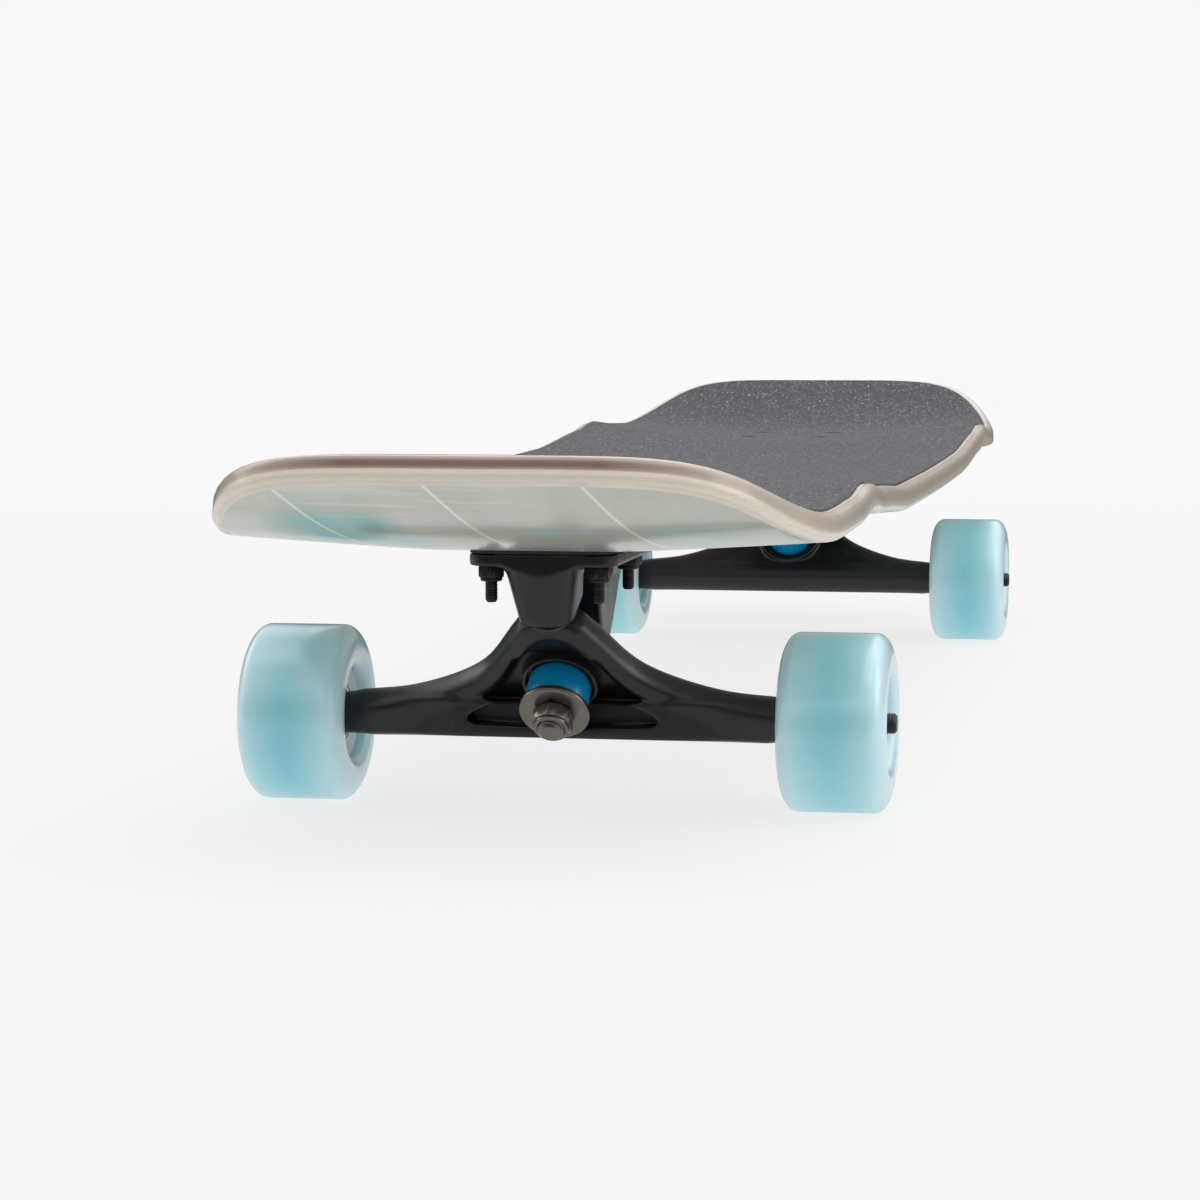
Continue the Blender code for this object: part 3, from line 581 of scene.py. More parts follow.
def hanger_shape(x, y, z):
    """The cast hanger: an axle bar with two arms that sweep up to a neck, around a bushing seat.

    Outlines are in millimetres: across the board, and up the steering axis, outwards or upwards."""
    q, k = seat_axes(x, z)
    side = np.abs(y)
    off_pin = np.hypot(y, q)  # distance from the kingpin's middle line
    # The bar round the axle, the arms and the web between them
    bar = drum(np.hypot(x, z - AXLE_MM), y, 8.25, -90, 90, 0.9)
    depth = np.abs(k - 0.6) - level(side, (0, 7.4), (40, 7.2), (60, 6.6), (80, 6.0))
    arms = both_within(arm_distance(side, q), depth, 6.5)
    d = blend_in(bar, arms, 4.0)
    web = [(84, -24), (67, -18), (50, -12), (38, -5.5), (30, 1), (24, 9), (20, 16), (16, 22), (0, 27)]
    web += [(-5, 27), (-5, -24)]
    plate = slab(outline(side, q, web), k + 1.2, 3.8, 1.0)
    d = blend_in(d, plate, 2.5)
    # The neck below the pivot pin, and the boss round the bushing seat
    wide = level(q, (17, 17.0), (22, 16.0), (26, 13.2), (30, 10.6), (34, 8.6))
    neck = block((side, k), (wide, level(q, (20, 8.0), (34, 7.6))), 6.0)
    neck = both_within(np.maximum(neck, 17 - q), q - 33.2, 1.5)
    d = blend_in(d, neck, 3.0)
    boss = drum(off_pin, k, 17.4, -8.2, 1.0, 1.0)
    d = blend_in(d, boss, 2.0)
    # The sill along the front, with a recess above it and a pocket in it
    front = [(0, -4), (80, -2), (80, 4.5), (62, 8.5), (50, 12.8), (42, 15.4), (0, 15.4)]
    sill = both_within(slab(outline(side, x, front), z - 35.2, 7.6, 1.4), 26.9 + (x - 2) * 0.11 - z, 0.8)
    d = blend_in(d, sill, 2.5)
    arch = [(-1, 26.4), (4, 25.6), (8.6, 22.2), (12.0, 17.6), (15.6, 11.4), (18.6, 4.6), (22.4, -2.2), (26.6, -7.4)]
    arch += [(30, -11), (-1, -11)]
    dish = np.clip((off_pin - 14.5) * 0.42, 0, 6) * np.clip((q + 6) / 12, 0, 1)
    recess = np.maximum(np.maximum(outline(side, q, arch), 2.6 + dish - k), 42.6 - z)
    d = carve(d, recess, 1.6)
    opening = [(-1, 32.6), (34.6, 33.2), (37.4, 34.6), (37.6, 36.0), (35.6, 37.6), (27.6, 41.3), (-1, 41.3)]
    pocket = np.maximum(outline(side, z, opening), 4.9 - x)
    d = carve(d, np.maximum(pocket, x - 40), 0.9)
    # Room for the bushings and washers, and the kingpin's hole
    d = carve(d, drum(off_pin, k, 16.2, -40.0, -5.6, 0.8), 0.8)
    d = carve(d, drum(off_pin, k, 14.2, 4.0, 40.0, 0.3), 0.3)
    d = carve(d, drum(off_pin, k, 14.2, -40.0, -4.0, 0.3), 0.3)
    d = carve(d, drum(off_pin, k, 7.6, -30, 30, 0.3), 0.6)
    # The pivot pin, and the bores for the axle's ends
    pin = drum(np.hypot(y, k), q, 5.8, 20.0, 46.8, 2.4)
    d = blend_in(d, pin, 0.8)
    return carve(d, drum(np.hypot(x, z - AXLE_MM), side, 4.15, 80, 95, 0.2), 0.4)


def baseplate_shape(x, y, z):
    """The cast baseplate: a bolted plate with a kingpin block and a leaning pivot housing.

    Outlines in the XZ plane are in millimetres, outwards and upwards."""
    q, k = seat_axes(x, z)
    side = np.abs(y)
    flat = np.hypot(np.maximum(np.abs(x - 7.0) - 49.0 + 9, 0), np.maximum(side - 28.5 + 9, 0)) - 9
    top, bottom = PLATE_TOP * 1000, PLATE_BOTTOM * 1000
    d = slab(flat, z - (top + bottom) / 2, (top - bottom) / 2, 0.8)
    # The housing that holds the pivot cup
    face = (x - 48.2) * 0.932 - (z - 74.3) * 0.363 + y * y / 70
    walls = y - level(z, (70, 9.2), (76, 10.0), (95, 13.6), (102, 15.2))
    walls = np.maximum(walls, -y - level(z, (70, 9.6), (76, 10.4), (95, 14.2), (102, 15.8)))
    housing = both_within(face, walls, 6.0)
    housing = both_within(housing, -12.4 - k, 7.0)
    housing = both_within(housing, 35.0 - q, 3.0)
    housing = both_within(housing, 74.0 - z, 3.5)
    d = blend_in(d, housing, 4.5)
    # The block that the kingpin goes through
    block_side = [(-39, 99), (-39, 95), (-21, 62.5), (-12.1, 55.9), (5.9, 77.7), (15, 90), (22, 99)]
    kingpin_block = np.maximum(outline(x, z, block_side), -60 - z)
    kingpin_block = both_within(kingpin_block, side - level(z, (62, 12.4), (84, 14.4), (94, 16.0)), 2.5)
    d = blend_in(d, kingpin_block, 4.0)
    off_bolts = [np.hypot(x - at * 1000, side - BOLT_Y * 1000) for at in BOLT_XS]
    for off_bolt in off_bolts:
        pad = drum(off_bolt, z, 6.6, bottom - 0.3, 101.0, 0.3)
        d = blend_in(d, pad, 0.6)
    d = -blend_in(-d, top - z, 0.4)
    d = -blend_in(-d, 56.0 - x, 0.5)
    web = slab(outline(x, z, [(-46, 91), (-26, 70), (-16, 66), (0, 82), (6, 91)]), side - 19.5, 4.6, 1.5)
    d = carve(d, web, 2.0)
    # The bores for the pivot cup, the kingpin and its head
    d = carve(d, drum(np.hypot(y, k), q, 8.6, 20, 47.6, 0.3), 0.5)
    d = carve(d, drum(np.hypot(y, q), -k, 5.3, 0, 60, 0.1), 0.4)
    d = carve(d, drum(np.hypot(y, q), -k, 9.3, 43, 76, 0.3), 0.5)
    for off_bolt in off_bolts:
        d = carve(d, drum(off_bolt, z, 2.8, 80, 110, 0.1), 0.3)
    return d


# The board's surface, in metres; s is the distance from the middle along the board


ROCKER, ROCKER_FROM, ROCKER_TO = 0.0055, 0.140, 0.282
KICK_START, KICK_BLEND, KICK_SLOPE = 0.393, 0.085, math.tan(math.radians(24.3))
CORNER_START, SIDE_POWER, TIP_POWER = 0.325, 5.8, 2.55
CONCAVE = np.array(((0, 0.0052), (0.257, 0.0066), (0.301, 0.0096), (0.343, 0.0064), (0.401, 0.0049), (0.503, 0.0)))
CONCAVE_POWER, FLAT_HALF = 1.15, 0.034


def smooth(t):
    t = np.clip(t, 0, 1)
    return t * t * (3 - 2 * t)


def rail_height(s):
    knots, heights = CONCAVE.T
    i = np.clip(np.searchsorted(knots, s, side="right") - 1, 0, len(knots) - 2)
    return heights[i] + (heights[i + 1] - heights[i]) * smooth((s - knots[i]) / (knots[i + 1] - knots[i]))


def kick_height(s):
    beyond = np.maximum(s - KICK_START, 0)
    return KICK_SLOPE * np.where(beyond < KICK_BLEND, beyond**2 / (2 * KICK_BLEND), beyond - KICK_BLEND / 2)


def board_height(x, y):
    """Height of the bare deck's upper face."""
    b = settings().board
    s = np.abs(x)
    middle = b.underside + b.thickness - ROCKER * (1 - smooth((s - ROCKER_FROM) / (ROCKER_TO - ROCKER_FROM)))
    across = np.maximum(np.abs(y) - FLAT_HALF, 0) / (b.outline_width / 2 - FLAT_HALF)
    return middle + rail_height(s) * across**CONCAVE_POWER + kick_height(s)


def board_point(x, y, drop):
    """Points that lie drop below the upper face, square to it."""
    step = 1e-4
    slope_x = (board_height(x + step, y) - board_height(x - step, y)) / (2 * step)
    slope_y = (board_height(x, y + step) - board_height(x, y - step)) / (2 * step)
    length = np.sqrt(slope_x**2 + slope_y**2 + 1)
    height = board_height(x, y) - drop / length
    return np.stack([x + drop * slope_x / length, y + drop * slope_y / length, height], -1)


def corner_point(turn, inset):
    b = settings().board
    half, tip = b.outline_width / 2 - inset, b.outline_length / 2 - inset
    x = CORNER_START + (tip - CORNER_START) * np.maximum(np.sin(turn), 0) ** (2 / TIP_POWER)
    return x, half * np.maximum(np.cos(turn), 0) ** (2 / SIDE_POWER)


ROWS = np.concatenate([np.linspace(0, 0.24, 41)[:-1], np.linspace(0.24, 0.3236, 22)])
CORNER_TURNS = 0.58 * np.linspace(0, 1, 34) ** 1.3
TIP_COLUMNS = 28


def plan_grid(inset):
    """(x, y) grids over the whole outline; the border is the outline drawn in by the inset."""
    half = settings().board.outline_width / 2 - inset
    turn_x, turn_y = corner_point(CORNER_TURNS, inset)
    side_x = np.concatenate([ROWS, turn_x])
    side_y = np.concatenate([np.full(len(ROWS), half), turn_y])
    share = np.linspace(1, 0, TIP_COLUMNS) * turn_y[-1] / half
    tip_turn = np.arccos(np.clip(share ** (SIDE_POWER / 2), 0, 1))
    tip_x, tip_y = corner_point(tip_turn, inset)
    tip_y[-1] = 0
    tip_x, tip_y = np.concatenate([tip_x, tip_x[-2::-1]]), np.concatenate([tip_y, -tip_y[-2::-1]])
    pull = smooth((side_x - 0.30) / (turn_x[-1] - 0.30))
    x = side_x[:, None] + pull[:, None] * (tip_x - turn_x[-1])
    y = side_y[:, None] * tip_y / turn_y[-1]
    return np.concatenate([-x[:0:-1], x]), np.concatenate([y[:0:-1], y])


def border(grid):
    """The grid's outer points, in order round it."""
    return np.concatenate([grid[0], grid[1:, -1], grid[-1, -2::-1], grid[-2:0:-1, 0]])


def board_sheet(layers):
    """Points, faces and each face's place (0 upper, 1 edge, 2 lower) of a closed sheet that follows the board.

    The layers are (inset, drop), from the upper face to the lower."""
    points, faces, places, loops = [], [], [], []
    for index, (inset, drop) in enumerate(layers):
        x, y = plan_grid(inset)
        start = len(points)
        if 0 < index < len(layers) - 1:
            edge = board_point(border(x), border(y), drop)
            points.extend(edge)
            loops.append(np.arange(start, start + len(edge)))
            continue
        points.extend(board_point(x, y, drop).reshape(-1, 3))
        numbers = np.arange(start, len(points)).reshape(x.shape)
        quads = np.stack([numbers[:-1, :-1], numbers[1:, :-1], numbers[1:, 1:], numbers[:-1, 1:]], -1).reshape(-1, 4)
        faces.extend(quads[:, ::-1] if index == 0 else quads)
        places.extend([0 if index == 0 else 2] * len(quads))
        loops.append(border(numbers))
    for upper, lower in zip(loops, loops[1:]):
        rim = np.stack([upper, lower, np.roll(lower, -1), np.roll(upper, -1)], -1)
        faces.extend(rim)
        places.extend([1] * len(rim))
    faces = outward(points, faces)
    return points, faces, places


def bolt_places():
    place = settings().truck.axle_place
    return [(end * (place + x), y) for end in (1, -1) for x in BOLT_XS for y in (BOLT_Y, -BOLT_Y)]


def cut(obj, profile, places):
    """Cuts the same turned shape from a mesh object at each (x, y) place."""
    shape, shape_faces = turned(profile, 32, False)
    cutters = ([(at_x + x, at_y + y, z) for x, y, z in shape] for at_x, at_y in places)
    points, faces = joined(*((cutter, shape_faces) for cutter in cutters))
    cutter = make_mesh("cutter", points, outward(points, faces))
    modifier = obj.modifiers.new("Holes", "BOOLEAN")
    modifier.operation, modifier.solver, modifier.object = "DIFFERENCE", "EXACT", cutter
    made = evaluated(obj)
    obj.modifiers.clear()
    old, obj.data = obj.data, made
    bpy.data.meshes.remove(old)
    bpy.data.objects.remove(cutter, do_unlink=True)


# Shader groups and materials


def sums(tree, operation, a, b=0.0, c=None):
    inputs = {0: a, 1: b} if c is None else {0: a, 1: b, 2: c}
    return add_node(tree, "ShaderNodeMath", inputs, operation=operation)


def noise(tree, vector, scale, detail=3.0, rough=0.5):
    inputs = {"Vector": vector, "Scale": scale, "Detail": detail, "Roughness": rough}
    return add_node(tree, "ShaderNodeTexNoise", inputs)


def stretched(tree, vector, scale=(1, 1, 1), turn=(0, 0, 0), shift=(0, 0, 0)):
    inputs = {"Vector": vector, "Scale": scale, "Rotation": turn, "Location": shift}
    return add_node(tree, "ShaderNodeMapping", inputs)


def component(tree, vector, axis):
    return add_node(tree, "ShaderNodeSeparateXYZ", {0: vector}, axis)


def distance(tree, vector):
    return add_node(tree, "ShaderNodeVectorMath", {0: vector}, 1, operation="LENGTH")


def ramp(tree, value, stops):
    """Colour (or grey) by value; the stops are (position, colour)."""
    node = tree.nodes.new("ShaderNodeValToRGB")
    elements = node.color_ramp.elements
    while len(elements) < len(stops):
        elements.new(0.5)
    for element, (position, shade) in zip(elements, stops):
        element.position = position
        element.color = (*shade, 1) if isinstance(shade, tuple) else (shade, shade, shade, 1)
    tree.links.new(value, node.inputs[0])
    return node.outputs[0]


def between(tree, value, low, high, to_low=0.0, to_high=1.0):
    inputs = {"Value": value, "From Min": low, "From Max": high, "To Min": to_low, "To Max": to_high}
    return add_node(tree, "ShaderNodeMapRange", inputs)


def mixed(tree, share, a, b, blend_type="MIX"):
    a, b = ((*shade, 1) if isinstance(shade, tuple) else shade for shade in (a, b))
    return add_node(tree, "ShaderNodeMix", {0: share, 6: a, 7: b}, 2, data_type="RGBA", blend_type=blend_type)


def new_group(name, inputs, outputs):
    """A shader group, what its input node gives and what its output node takes."""
    tree = bpy.data.node_groups.new(name, "ShaderNodeTree")
    add_inputs(tree, inputs)
    for label, kind in outputs:
        tree.interface.new_socket(label, in_out="OUTPUT", socket_type=kind)
    return tree, tree.nodes.new("NodeGroupInput").outputs, tree.nodes.new("NodeGroupOutput").inputs


def make_grain_group():
    """Fine surface grain: a height and a small lightness change."""
    inputs = (("Vector", VECTOR, None), ("Scale", FLOAT, 900.0), ("Contrast", FLOAT, 0.1))
    tree, given, out = new_group("Fine grain", inputs, (("Height", FLOAT), ("Shade", FLOAT)))
    fine = noise(tree, given["Vector"], given["Scale"], 2.0)
    wide = noise(tree, given["Vector"], sums(tree, "MULTIPLY", given["Scale"], 0.17), 3.0)
    both = sums(tree, "MULTIPLY_ADD", wide, 0.6, sums(tree, "MULTIPLY", fine, 0.4))
    tree.links.new(both, out["Height"])
    offset = sums(tree, "MULTIPLY", sums(tree, "SUBTRACT", both, 0.5), given["Contrast"])
    tree.links.new(sums(tree, "ADD", offset, 1.0), out["Shade"])
    return tree


def make_smudge_group():
    """Patches where hands and cloth have changed the gloss."""
    inputs = (("Vector", VECTOR, None), ("Scale", FLOAT, 25.0), ("Clean", FLOAT, 0.4), ("Smudged", FLOAT, 0.5))
    tree, given, out = new_group("Smudges", inputs, (("Roughness", FLOAT), ("Mask", FLOAT)))
    cloud = noise(tree, given["Vector"], given["Scale"], 5.0, 0.6)
    mask = between(tree, cloud, 0.42, 0.62)
    span = sums(tree, "SUBTRACT", given["Smudged"], given["Clean"])
    tree.links.new(sums(tree, "MULTIPLY_ADD", mask, span, given["Clean"]), out["Roughness"])
    tree.links.new(mask, out["Mask"])
    return tree


def make_dust_group():
    """Faint pale dust on what faces up."""
    inputs = (("Color", COLOUR, (0.5, 0.5, 0.5, 1)), ("Vector", VECTOR, None))
    inputs += (("Normal", VECTOR, None), ("Amount", FLOAT, 0.1))
    tree, given, out = new_group("Dust", inputs, (("Color", COLOUR),))
    up = between(tree, component(tree, given["Normal"], 2), 0.3, 1.0)
    speck = between(tree, noise(tree, given["Vector"], 260.0, 4.0, 0.7), 0.45, 0.7)
    share = sums(tree, "MULTIPLY", sums(tree, "MULTIPLY", up, speck), given["Amount"])
    tree.links.new(mixed(tree, share, given["Color"], (0.55, 0.54, 0.52)), out["Color"])
    return tree


def grouped(tree, name, inputs, *outs):
    """Places a shader group in a material; returns the named outputs, or the first."""
    node = tree.nodes.new("ShaderNodeGroup")
    node.node_tree = GROUPS[name]
    for key, value in inputs.items():
        feed(tree, value, node.inputs[key])
    return [node.outputs[out] for out in outs] if outs else node.outputs[0]


def new_finish(name, **fixed):
    """A material with one Principled shader, its plain values set on its own sockets."""
    finish = bpy.data.materials.new(name)
    finish.use_nodes = True
    tree = finish.node_tree
    shader = tree.nodes["Principled BSDF"]
    for key, value in fixed.items():
        shader.inputs[key.replace("_", " ").title().replace("Ior", "IOR")].default_value = value
    coordinates = tree.nodes.new("ShaderNodeTexCoord").outputs
    FINISHES[name] = finish
    return tree, shader.inputs, coordinates["Object"], coordinates["Normal"]


def bumped(tree, shader, height, depth):
    normal = add_node(tree, "ShaderNodeBump", {"Height": height, "Distance": depth, "Strength": 1.0})
    tree.links.new(normal, shader["Normal"])


def polished(tree, shader, place, scale, clean, smudged):
    """Gives a shader its roughness, with smudges."""
    inputs = {"Vector": place, "Scale": scale, "Clean": clean, "Smudged": smudged}
    tree.links.new(grouped(tree, "Smudges", inputs), shader["Roughness"])


def dusted(tree, shader, place, normal, shade, amount):
    """Gives a shader its colour, with dust on what faces up."""
    inputs = {"Color": shade, "Vector": place, "Normal": normal, "Amount": amount}
    tree.links.new(grouped(tree, "Dust", inputs), shader["Base Color"])


def shaded(tree, base, shade):
    """A colour made lighter or darker by a factor that changes over the surface."""
    grey = add_node(tree, "ShaderNodeCombineColor", {0: shade, 1: shade, 2: shade})
    return mixed(tree, 1.0, base, grey, "MULTIPLY")


def make_grained(name, base, gloss, grain, depth, dust, contrast=0.5, smudge=40.0, **fixed):
    """A metal, rubber or plastic with fine grain, smudges and a little dust."""
    tree, shader, place, normal = new_finish(name, **fixed)
    inputs = {"Vector": place, "Scale": grain, "Contrast": contrast}
    height, shade = grouped(tree, "Fine grain", inputs, "Height", "Shade")
    dusted(tree, shader, place, normal, shaded(tree, base, shade), dust)
    polished(tree, shader, place, smudge, *gloss)
    bumped(tree, shader, height, depth)


def make_deck_finishes():
    s = settings().board
    dark, pale = tuple(s.veneer_dark), tuple(s.veneer_pale)
    tree, shader, place, _ = new_finish("deck_top_veneer", roughness=0.5, specular_ior_level=0.4)
    grain = noise(tree, stretched(tree, place, (6, 160, 60)), 1.0, 6.0, 0.6)
    wood = mixed(tree, between(tree, grain, 0.3, 0.7), tuple(0.8 * c for c in pale), pale)
    tree.links.new(wood, shader["Base Color"])
    bumped(tree, shader, grain, 0.0001)

    coat = {"specular_ior_level": 0.4, "coat_weight": 0.9, "coat_roughness": 0.18}
    tree, shader, place, _ = new_finish("deck_edge_plies", **coat)
    ply = add_node(tree, "ShaderNodeAttribute", None, 2, attribute_name="ply_depth")
    waver = noise(tree, stretched(tree, place, (30, 30, 30)), 1.0, 2.0)
    depth = sums(tree, "MULTIPLY_ADD", sums(tree, "SUBTRACT", waver, 0.5), 0.03, ply)
    pink, brown = (0.78, 0.55, 0.44), tuple(0.25 * p + 0.75 * d for d, p in zip(dark, pale))
    layers = [(0.0, pale), (0.05, pink), (0.10, pink), (0.15, brown), (0.34, dark), (0.50, dark)]
    layers += [(0.60, brown), (0.66, pink), (0.74, pale), (1.0, pale)]
    plies = ramp(tree, depth, layers)
    # Painted glare: toward the rails the edge colour is blended to the pale veneer colour. This stands in for side
    # light reflected off the lacquered edge; the plies do not really change colour there.
    across = sums(tree, "ABSOLUTE", component(tree, place, 1))
    plies = mixed(tree, between(tree, across, 0.045, 0.108, 0.0, 0.72), plies, pale)
    glue = between(tree, sums(tree, "PINGPONG", depth, 1 / 14), 0.0, 0.010, 0.86, 1.0)
    plies = shaded(tree, plies, glue)
    fibre = noise(tree, stretched(tree, place, (160, 160, 2600)), 1.0, 5.0, 0.6)
    tree.links.new(shaded(tree, plies, between(tree, fibre, 0.25, 0.75, 0.88, 1.08)), shader["Base Color"])
    tree.links.new(between(tree, fibre, 0.2, 0.8, 0.62, 0.45), shader["Roughness"])
    bumped(tree, shader, fibre, 0.00004)


def stroke(tree, place, angle, length, width, low, high, shift):
    """Long brush strokes: noise drawn out along one direction and cut to bands."""
    along = stretched(tree, place, (1, 1, 1), (0, 0, math.radians(-angle)))
    drawn = stretched(tree, along, (1 / length, 1 / width, 4.0), shift=shift)
    return between(tree, noise(tree, drawn, 1.0, 5.0, 0.62), low, high)


# Torn patches of paint on the lower face: place, size and colour
PATCHES = (
    ((0.440, -0.052), (0.050, 0.034), (0.16, 0.44, 0.44)),
    ((0.385, 0.008), (0.040, 0.020), (0.20, 0.33, 0.31)),
    ((0.425, 0.070), (0.060, 0.026), (0.36, 0.50, 0.42)),
    ((0.240, -0.060), (0.070, 0.045), (0.18, 0.42, 0.40)),
    ((0.180, 0.050), (0.090, 0.040), (0.40, 0.50, 0.34)),
    ((0.050, -0.030), (0.100, 0.050), (0.20, 0.40, 0.38)),
    ((-0.070, 0.060), (0.080, 0.040), (0.16, 0.44, 0.44)),
    ((-0.190, -0.040), (0.090, 0.050), (0.38, 0.48, 0.34)),
    ((-0.300, 0.055), (0.070, 0.040), (0.20, 0.38, 0.36)),
    ((-0.430, -0.020), (0.060, 0.060), (0.18, 0.43, 0.42)),
)
# Brush strokes: angle, length, width, where the noise is cut, shift, colour (None: the set teal) and strength
STROKES = (
    (84, 0.22, 0.011, (0.52, 0.64), (0.3, 1.2, 0), (0.42, 0.36, 0.24), 0.55),
    (97, 0.26, 0.014, (0.54, 0.64), (2.1, 0.4, 0), None, 0.35),
    (88, 0.20, 0.009, (0.55, 0.63), (5.2, 3.1, 0), (0.36, 0.50, 0.34), 0.60),
    (93, 0.24, 0.016, (0.56, 0.66), (7.4, 1.9, 0), (0.72, 0.70, 0.62), 0.60),
)
LINE_SPACING, LINE_SHIFT, LINE_TURN = 0.054, 0.019, math.radians(12)  # of the thin pale lines


def make_graphic():
    """The lower face: a pale ground with loose strokes, thin lines and faint rings."""
    s = settings().board
    coat = {"specular_ior_level": 0.5, "coat_weight": 1.0, "coat_roughness": 0.16}
    tree, shader, place, _ = new_finish("deck_graphic", **coat)
    ground = tuple(s.graphic_ground)
    mottled = noise(tree, stretched(tree, place, (5, 26, 5)), 1.0, 6.0, 0.6)
    paint = mixed(tree, between(tree, mottled, 0.3, 0.7), tuple(0.72 * c for c in ground), ground)
    for (x, y), (long, wide), shade in PATCHES:
        spread = stretched(tree, place, (1 / long, 1 / wide, 0), shift=(-x / long, -y / wide, 0))
        torn = sums(tree, "MULTIPLY_ADD", sums(tree, "SUBTRACT", mottled, 0.5), 2.4, distance(tree, spread))
        paint = mixed(tree, between(tree, torn, 1.15, 0.55, 0.0, 0.9), paint, shade)
    for angle, length, width, band, shift, shade, share in STROKES:
        drawn = stroke(tree, place, angle, length, width, *band, shift)
        paint = mixed(tree, sums(tree, "MULTIPLY", drawn, share), paint, shade or tuple(s.graphic_teal))
    far = distance(tree, stretched(tree, place, (1, 1, 0), shift=(-0.02, 0.05, 0)))
    rings = sums(tree, "PINGPONG", far, 0.010)
    near = sums(tree, "MULTIPLY", between(tree, far, 0.10, 0.06), 0.35)
    ring_mask = sums(tree, "MULTIPLY", between(tree, rings, 0.0018, 0.0006), near)
    paint = mixed(tree, ring_mask, paint, (0.32, 0.38, 0.36))
    across = sums(tree, "ADD", component(tree, stretched(tree, place, turn=(0, 0, LINE_TURN)), 1), LINE_SHIFT)
    lines = between(tree, sums(tree, "PINGPONG", across, LINE_SPACING / 2), 0.0010, 0.0004)
    paint = mixed(tree, sums(tree, "MULTIPLY", lines, 0.75), paint, (0.80, 0.77, 0.68))
    tree.links.new(paint, shader["Base Color"])
    polished(tree, shader, place, 14.0, 0.32, 0.46)
    bumped(tree, shader, noise(tree, stretched(tree, place, (20, 400, 100)), 1.0, 4.0), 0.00004)


def make_grit():
    """Abrasive film: packed grains with faint creases; a few grains are painted lighter as glints and are also made
    glossier.
    """
    s = settings().board
    tree, shader, place, normal = new_finish("grip_grit", specular_ior_level=0.45)
    cells = tree.nodes.new("ShaderNodeTexVoronoi")
    cells.inputs["Scale"].default_value = 1500
    tree.links.new(place, cells.inputs["Vector"])
    lot = add_node(tree, "ShaderNodeSeparateColor", {0: cells.outputs["Color"]}, 0)
    clumps = noise(tree, place, 420.0, 3.0, 0.65)
    cloud = noise(tree, place, 9.0, 4.0, 0.6)
    crease = noise(tree, stretched(tree, place, (9, 2.2, 2.2), (0, 0, 0.5)), 1.0, 3.0)
    fold = between(tree, sums(tree, "ABSOLUTE", sums(tree, "SUBTRACT", crease, 0.5)), 0.0, 0.012, 1.0, 0.0)
    shade = between(tree, clumps, 0.25, 0.75, 0.72, 1.32)
    shade = sums(tree, "MULTIPLY", shade, between(tree, cloud, 0.3, 0.7, 0.93, 1.08))
    shade = sums(tree, "MULTIPLY_ADD", fold, 0.10, shade)
    body = shaded(tree, tuple(s.grip_grey), shade)
    # Painted glint: a few grains are blended toward light grey in the base colour, and the same grains also get a
    # lower roughness.
    glint = between(tree, lot, 0.955, 0.985)
    body = mixed(tree, sums(tree, "MULTIPLY", glint, 0.55), body, (0.62, 0.62, 0.66))
    dusted(tree, shader, place, normal, body, 0.10)
    tree.links.new(between(tree, glint, 0, 1, 0.88, 0.30), shader["Roughness"])
    grains = sums(tree, "MULTIPLY_ADD", clumps, 0.6, sums(tree, "MULTIPLY", cells.outputs["Distance"], 0.5))
    bumped(tree, shader, grains, 0.00045)


def make_urethanes():
    t, w = settings().truck, settings().wheel
    milk = {"ior": 1.50, "subsurface_weight": 0.75, "subsurface_radius": (0.5, 1.0, 1.1)}
    milk |= {"subsurface_scale": 0.010, "coat_weight": 0.8, "coat_roughness": 0.14}
    tree, shader, place, normal = new_finish("wheel_urethane", **milk)
    across = sums(tree, "SUBTRACT", sums(tree, "ABSOLUTE", component(tree, place, 1)), w.place)
    across = sums(tree, "ABSOLUTE", across)
    lip = between(tree, across, w.tread / 2 - 0.001, w.width / 2)
    thin = sums(tree, "POWER", between(tree, across, 0.0, w.width / 2), 1.4)
    cloud = noise(tree, place, 26.0, 4.0, 0.55)
    urethane = tuple(w.urethane)
    core = tuple(c * k for c, k in zip(urethane, (0.55, 0.88, 0.92)))
    core = mixed(tree, between(tree, cloud, 0.35, 0.65, 0.0, 0.6), urethane, core)
    milky = mixed(tree, sums(tree, "MULTIPLY", thin, 0.85), core, (0.70, 0.85, 0.90))
    dusted(tree, shader, place, normal, milky, 0.06)
    polished(tree, shader, place, 30.0, 0.28, 0.42)
    lines = noise(tree, stretched(tree, place, (8, 2400, 8)), 1.0, 3.0)
    bumped(tree, shader, sums(tree, "MULTIPLY", lines, between(tree, lip, 0.0, 0.1, 1.0, 0.2)), 0.00003)

    gel = {"ior": 1.50, "subsurface_weight": 0.35, "subsurface_radius": (0.1, 0.7, 1.0)}
    gel |= {"subsurface_scale": 0.004, "coat_weight": 0.3, "coat_roughness": 0.15}
    tree, shader, place, _ = new_finish("bushing_urethane", **gel)
    cloud = between(tree, noise(tree, place, 120.0, 3.0), 0.3, 0.7)
    blue = tuple(t.bushing_blue)
    tree.links.new(mixed(tree, cloud, blue, tuple(0.82 * c for c in blue)), shader["Base Color"])
    polished(tree, shader, place, 90.0, 0.22, 0.34)
    bumped(tree, shader, noise(tree, place, 700.0, 2.0), 0.00002)


